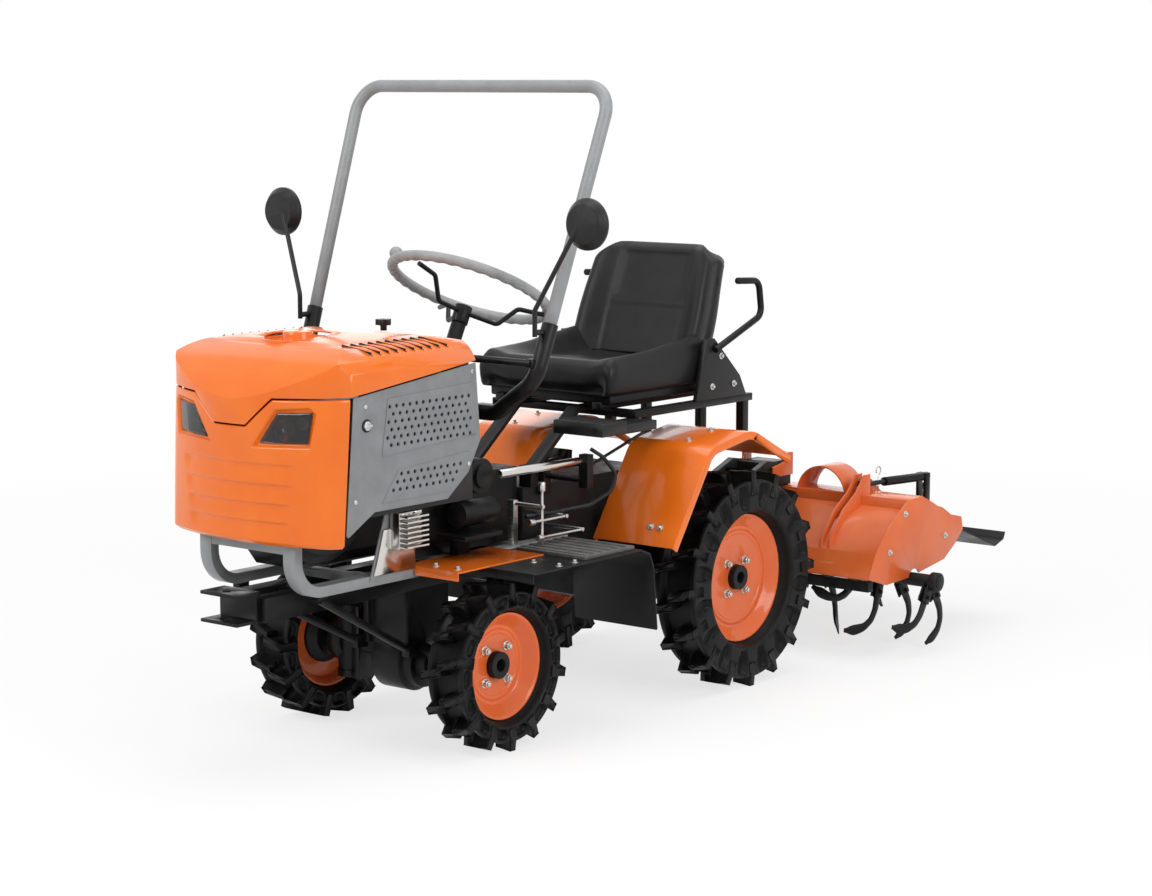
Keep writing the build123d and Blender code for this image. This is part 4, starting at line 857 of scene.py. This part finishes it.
class CULTIVATOR_OT_rotor(bpy.types.Operator):
    """Forges the rotor's curved tines with their bolted holders on the shaft"""

    bl_idname = "cultivator.rotor"
    bl_label = "Tiller rotor"

    def execute(self, context):
        work = bmesh.new()
        y, z = ROTOR_AXIS
        bar = self.bar()
        rod(work, (-0.583, y, z), (0.583, y, z), 0.0190, segments=40, round_edge=1.5 * MM)
        for side in (1, -1):
            rod(work, (side * 0.556, y, z), (side * 0.580, y, z), 0.027, segments=40, round_edge=1.5 * MM)
            for number, x in enumerate(STATIONS):
                first = radians(200 + 47 * number) if x < 500 else radians(238)
                second = first + (pi if x < 500 else radians(62))
                for hand, turn in ((1, first), (-1, second)):
                    lean = side if number == 0 else -side * 0.6 if number >= 6 else hand
                    foot = Vector((side * x * MM, y, z))
                    self.tine(work, bar, foot, turn, lean)
                    self.holder(work, foot, turn)
        bar.free()
        fit("rotor_forged", work, "tine_steel", "rotor", ("rotor",))
        return {"FINISHED"}

    def bar(self):
        """A straight flat bar with chamfered edges, one unit long, cut into steps."""
        bar = bmesh.new()
        bmesh.ops.create_cone(bar, cap_ends=True, segments=8, radius1=1.0, radius2=1.0, depth=1.0,
                              matrix=Matrix.Rotation(pi / 8, 4, "Z"))
        long_edges = [e for e in bar.edges if abs(e.verts[0].co.z - e.verts[1].co.z) > 0.5]
        bmesh.ops.subdivide_edges(bar, edges=long_edges, cuts=TINE_STEPS - 1)
        for vert in bar.verts:
            wide, thick = (1.0, 0.6) if abs(vert.co.x) > abs(vert.co.y) else (0.7, 1.0)
            vert.co.x, vert.co.y = copysign(wide, vert.co.x), copysign(thick, vert.co.y)
        return bar

    def tine(self, work, bar, foot, turn, hand):
        """Adds one tine: straight out of its holder, then curved ahead, with its blade bent sideways."""
        out, ahead = Vector((0, cos(turn), sin(turn))), Vector((0, sin(turn), -cos(turn)))
        places = []
        for i in range(TINE_STEPS + 1):
            reach, swing, aside = between(TINE_PATH, i / TINE_STEPS)
            places.append(foot + out * reach + ahead * swing + Vector((hand * aside, 0, 0)))
        inner = [(a + b * 2 + c) / 4 for a, b, c in zip(places, places[1:], places[2:])]
        places = [places[0], *inner, places[-1]]
        forged = bar.copy()
        for vert in forged.verts:
            step = round((vert.co.z + 0.5) * TINE_STEPS)
            run = (places[min(step + 1, TINE_STEPS)] - places[max(step - 1, 0)]).normalized()
            flat = Vector((1, 0, 0)).cross(run).normalized()
            thin = run.cross(flat).normalized()
            share = step / TINE_STEPS
            half_wide = (13 - 3 * smooth_step(share, 0.2, 0.6) + 5 * smooth_step(share, 0.6, 0.85)
                         - 9 * smooth_step(share, 0.85, 1.0)) * MM
            half_thin = (4.5 - 2.5 * smooth_step(share, 0.6, 1.0)) * MM
            vert.co = places[step] + flat * half_wide * vert.co.x + thin * half_thin * vert.co.y
        join(work, forged)

    def holder(self, work, foot, turn):
        """Adds the two plates that hold a tine, and the bolt through them."""
        out = Vector((0, cos(turn), sin(turn)))
        for side in (-1, 1):
            middle = foot + out * 0.040 + Vector((side * HOLDER_GAP, 0, 0))
            made = bmesh.ops.create_cube(work, size=1.0, matrix=Matrix.Translation(middle)
                                         @ Matrix.Rotation(turn, 4, "X") @ Matrix.Diagonal(HOLDER_PLATE))
            soften(work, made["verts"], 1.2 * MM)
        for side in (1, -1):
            bolt(work, foot + out * 0.050 + Vector((side * 10 * MM, 0, 0)), (side, 0, 0), 12 * MM)


# Fasteners and fittings

WHEEL_BOLTS, WHEEL_BOLT_RADIUS = 4, 57.15 * MM
# Washer, nut and stud, in mm: where each starts and ends along the stud, its radius, sides and rounding
WHEEL_NUT = ((-4, 2, 12, 28, 0.5), (1.5, 12, 9.5, 6, 0.8), (11, 17, 6, 20, 1.0))
# y and z on the side panels
PANEL_LATCH = (-1.183, 0.837)
PANEL_SCREWS = ((-1.186, 0.881), (-1.222, 0.665), (-0.815, 0.93), (-0.83, 0.71))
LOUVRES, LOUVRE_PITCH, LOUVRE_START = 10, 0.029, (0.222, -1.152)
LOUVRE_TURN, LOUVRE_HALF = radians(32), 37 * MM
BOLT_ACROSS = 10 * MM
# Body, then for each bolt the axis along which a line runs towards the middle, and where it starts
BOLTS = {
    "fenders": ("chassis", ((1, (0.34, -0.6, 0.47)), (1, (0.31, -0.6, 0.47)), (2, (0.30, 0.03, 1)),
                            (2, (0.30, 0.13, 1)))),
    "seat_covers": ("chassis", ((0, (0.6, 0.20, 0.80)), (0, (0.6, 0.30, 0.80)), (0, (0.6, 0.24, 0.88)))),
    "foot_plates": ("chassis", ((2, (0.27, -0.86, 1)), (2, (0.20, -0.86, 1)))),
    "step_guards": ("chassis", ((2, (0.42, -0.66, 1)), (2, (0.34, -0.66, 1)), (2, (0.42, -0.60, 1)))),
    "tiller_hood": ("tiller", ((0, (0.8, 0.72, 0.30)), (0, (0.8, 0.80, 0.40)), (0, (0.8, 1.02, 0.31)))),
}
MIRROR_X, MIRROR_Z, MIRROR_RADIUS = 0.504, 1.281, 57 * MM
CLIP_X, CLIP_WIRE, CLIP_RING = 0.323, 2 * MM, 12 * MM
CLIPS = ((0.930, 0.470), (1.180, 0.415))


def cast(name, start, aim):
    """Where a line from start towards aim meets a node, and the face's outward way there."""
    piece = NODES[name]
    back = piece.matrix_world.inverted()
    origin = back @ Vector(start)
    toward = (back @ Vector(aim) - origin).normalized()
    hit, place, normal, _ = piece.ray_cast(origin, toward)
    if not hit:
        raise ValueError(f"{name}: no face between {start} and {aim}")
    if normal.dot(toward) > 0:
        normal = -normal
    return piece.matrix_world @ place, (piece.matrix_world.to_3x3() @ normal).normalized()


class CULTIVATOR_OT_fasteners(bpy.types.Operator):
    """Adds the wheel nuts, the bolts and screws, the panel latch, black blocks as painted shade in the louvre
    slots, and the mirror glass
    """

    bl_idname = "cultivator.fasteners"
    bl_label = "Fasteners"

    def execute(self, context):
        for end, w in TYRES.items():
            for side, hand in ((1, "left"), (-1, "right")):
                work = bmesh.new()
                out = Vector((side, 0, 0))
                for number in range(WHEEL_BOLTS):
                    turn = radians(45 + 90 * number)
                    place = Vector((side * (w["rim_x"] - w["nuts"]), w["y"] + cos(turn) * WHEEL_BOLT_RADIUS,
                                    w["z"] + sin(turn) * WHEEL_BOLT_RADIUS))
                    for start, stop, radius, sides, rounding in WHEEL_NUT:
                        rod(work, place + out * start * MM, place + out * stop * MM, radius * MM,
                            segments=sides, round_edge=rounding * MM)
                fit(f"wheel_nuts_{end}_{hand}", work, "zinc_rod", f"wheel_{end}_{hand}")
        self.panel_fittings()
        self.louvres()
        self.bolts()
        self.mirrors_and_clips()
        return {"FINISHED"}

    def panel_fittings(self):
        """The side panels' latches and screws, and black sheets behind their holes: painted shade, which
        makes the holes dark and even.
        """
        chrome, black = bmesh.new(), bmesh.new()
        for side in (1, -1):
            place, out = cast("side_panels", (side * 0.5, *PANEL_LATCH), (0, *PANEL_LATCH))
            rod(black, place - out * MM, place + out * 3 * MM, 15 * MM, segments=36, round_edge=1 * MM)
            rod(chrome, place + out * 2.5 * MM, place + out * 6 * MM, 11 * MM, segments=36, round_edge=1 * MM)
            block(chrome, place + Vector((side * 4, -16, -4)) * MM, place + Vector((side * 12, 10, 4)) * MM,
                  2 * MM)
            for y, z in PANEL_SCREWS:
                place, out = cast("side_panels", (side * 0.5, y, z), (0, y, z))
                rod(chrome, place - out * MM, place + out * 2.5 * MM, 6 * MM, 5 * MM, segments=24,
                    round_edge=0.6 * MM)
            # A black sheet behind each panel's holes: painted shade, standing in for the dark inside the
            # bonnet.
            block(black, (side * 0.262, -1.19, 0.62), (side * 0.266, -0.80, 0.935), 0.5 * MM)
        fit("panel_chrome", chrome, "zinc_rod", "chassis")
        fit("panel_latch_bases_and_painted_shade", black, "black_plastic", "chassis")

    def louvres(self):
        """Black blocks for the slots in the bonnet's crown, with a pressed lip: painted shade where the
        openings are.
        """
        work = bmesh.new()
        for side in (1, -1):
            slant = Vector((cos(LOUVRE_TURN), side * sin(LOUVRE_TURN), 0)) * LOUVRE_HALF
            across = Vector((-slant.y, slant.x, 0)).normalized() * 6 * MM
            for number in range(LOUVRES):
                middle = Vector((side * LOUVRE_START[0], LOUVRE_START[1] + LOUVRE_PITCH * number, 1.5))
                ends = []
                for end in (-1, 1):
                    start = middle + slant * end * 0.94 + across
                    ends.append(cast("bonnet_top", start, start - Vector((0, 0, 1)))[0] - across)
                # Each slot is a black block: painted shade of the opening.
                block_between(work, ends[0], ends[1], 7 * MM, 2.4 * MM)
        fit("louvre_slot_shade", work, "black_plastic", "bonnet")

    def bolts(self):
        """Hexagon bolts where the photo shows them on the sheet metal."""
        for name, (body, lines) in BOLTS.items():
            work = bmesh.new()
            for axis, start in lines:
                for side in (1, -1):
                    begin = Vector((side * start[0], *start[1:]))
                    aim = begin.copy()
                    aim[axis] = 0
                    bolt(work, *cast(name, begin, aim), BOLT_ACROSS)
            fit(f"{name}_bolts", work, "zinc_rod", body)

    def mirrors_and_clips(self):
        """The mirrors' glass, and the spring clips on the tiller's adjuster."""
        glass, clips = bmesh.new(), bmesh.new()
        for side in (1, -1):
            rod(glass, (side * MIRROR_X, -0.6519, MIRROR_Z), (side * MIRROR_X, -0.6495, MIRROR_Z),
                MIRROR_RADIUS, segments=64, round_edge=0.8 * MM)
        fit("mirror_glass", glass, "polished_plate", "chassis")
        for y, z in CLIPS:
            rod(clips, (CLIP_X, y, z - 0.060), (CLIP_X, y, z + 0.012), CLIP_WIRE, segments=12)
            turns = [radians(-90 + 30 * i) for i in range(11)]
            loop = [Vector((CLIP_X, y, z + 0.024)) + Vector((0, cos(a), sin(a))) * CLIP_RING for a in turns]
            for one, other in zip(loop, loop[1:]):
                rod(clips, one, other, CLIP_WIRE, segments=12)
        fit("adjuster_clips", clips, "zinc_rod", "tiller")


# CAD nodes: material and rounded edges

class CULTIVATOR_OT_metalwork(bpy.types.Operator):
    """Paints every frame node with its slot's finish and rounds its edges a little"""

    bl_idname = "cultivator.metalwork"
    bl_label = "Paint and edges"

    def execute(self, context):
        slots = {part["node"]: part["material_slot"] for part in frame["record"]["subparts"]}
        for name, piece in NODES.items():
            piece.data.materials.clear()
            piece.data.materials.append(finishes()[slots[name]])
            self.round_edges(piece, looks().edge_round, looks().edge_angle)
        return {"FINISHED"}

    def round_edges(self, piece, width, angle):
        """Welds the loose triangles and rounds the sharp edges, so that they catch the light."""
        piece.data.shade_smooth()
        weld = piece.modifiers.new("weld", "WELD")
        weld.merge_threshold = 0.00001
        bevel = piece.modifiers.new("edges", "BEVEL")
        bevel.width = width
        bevel.segments = 2
        bevel.limit_method = "ANGLE"
        bevel.angle_limit = angle
        bevel.harden_normals = True
        bevel.use_clamp_overlap = True


MATERIALS = {}


def finishes():
    """The finished materials, made once."""
    if not MATERIALS:
        MATERIALS.update(make_materials())
    return MATERIALS


class CULTIVATOR_PT_panel(bpy.types.Panel):
    """Lists the steps that dress the cultivator"""

    bl_idname = "CULTIVATOR_PT_panel"
    bl_label = "Ride-on Cultivator"
    bl_space_type = "VIEW_3D"
    bl_region_type = "UI"
    bl_category = "Cultivator"

    def draw(self, context):
        for operator in OPERATORS:
            self.layout.operator(operator.bl_idname)
        self.layout.prop(context.scene.cultivator_looks, "edge_round")


OPERATORS = (CULTIVATOR_OT_stage, CULTIVATOR_OT_metalwork, CULTIVATOR_OT_tyres, CULTIVATOR_OT_seat,
             CULTIVATOR_OT_nose, CULTIVATOR_OT_steering, CULTIVATOR_OT_rotor, CULTIVATOR_OT_fasteners)
CLASSES = (CultivatorStage, CultivatorLooks, *OPERATORS, CULTIVATOR_PT_panel)


def register():
    for cls in CLASSES:
        bpy.utils.register_class(cls)
    bpy.types.Scene.cultivator_stage = PointerProperty(type=CultivatorStage)
    bpy.types.Scene.cultivator_looks = PointerProperty(type=CultivatorLooks)


def unregister():
    del bpy.types.Scene.cultivator_looks
    del bpy.types.Scene.cultivator_stage
    for cls in reversed(CLASSES):
        bpy.utils.unregister_class(cls)


def main():
    register()
    for operator in OPERATORS:
        group, name = operator.bl_idname.split(".")
        getattr(getattr(bpy.ops, group), name)()


if __name__ == "__main__":
    main()
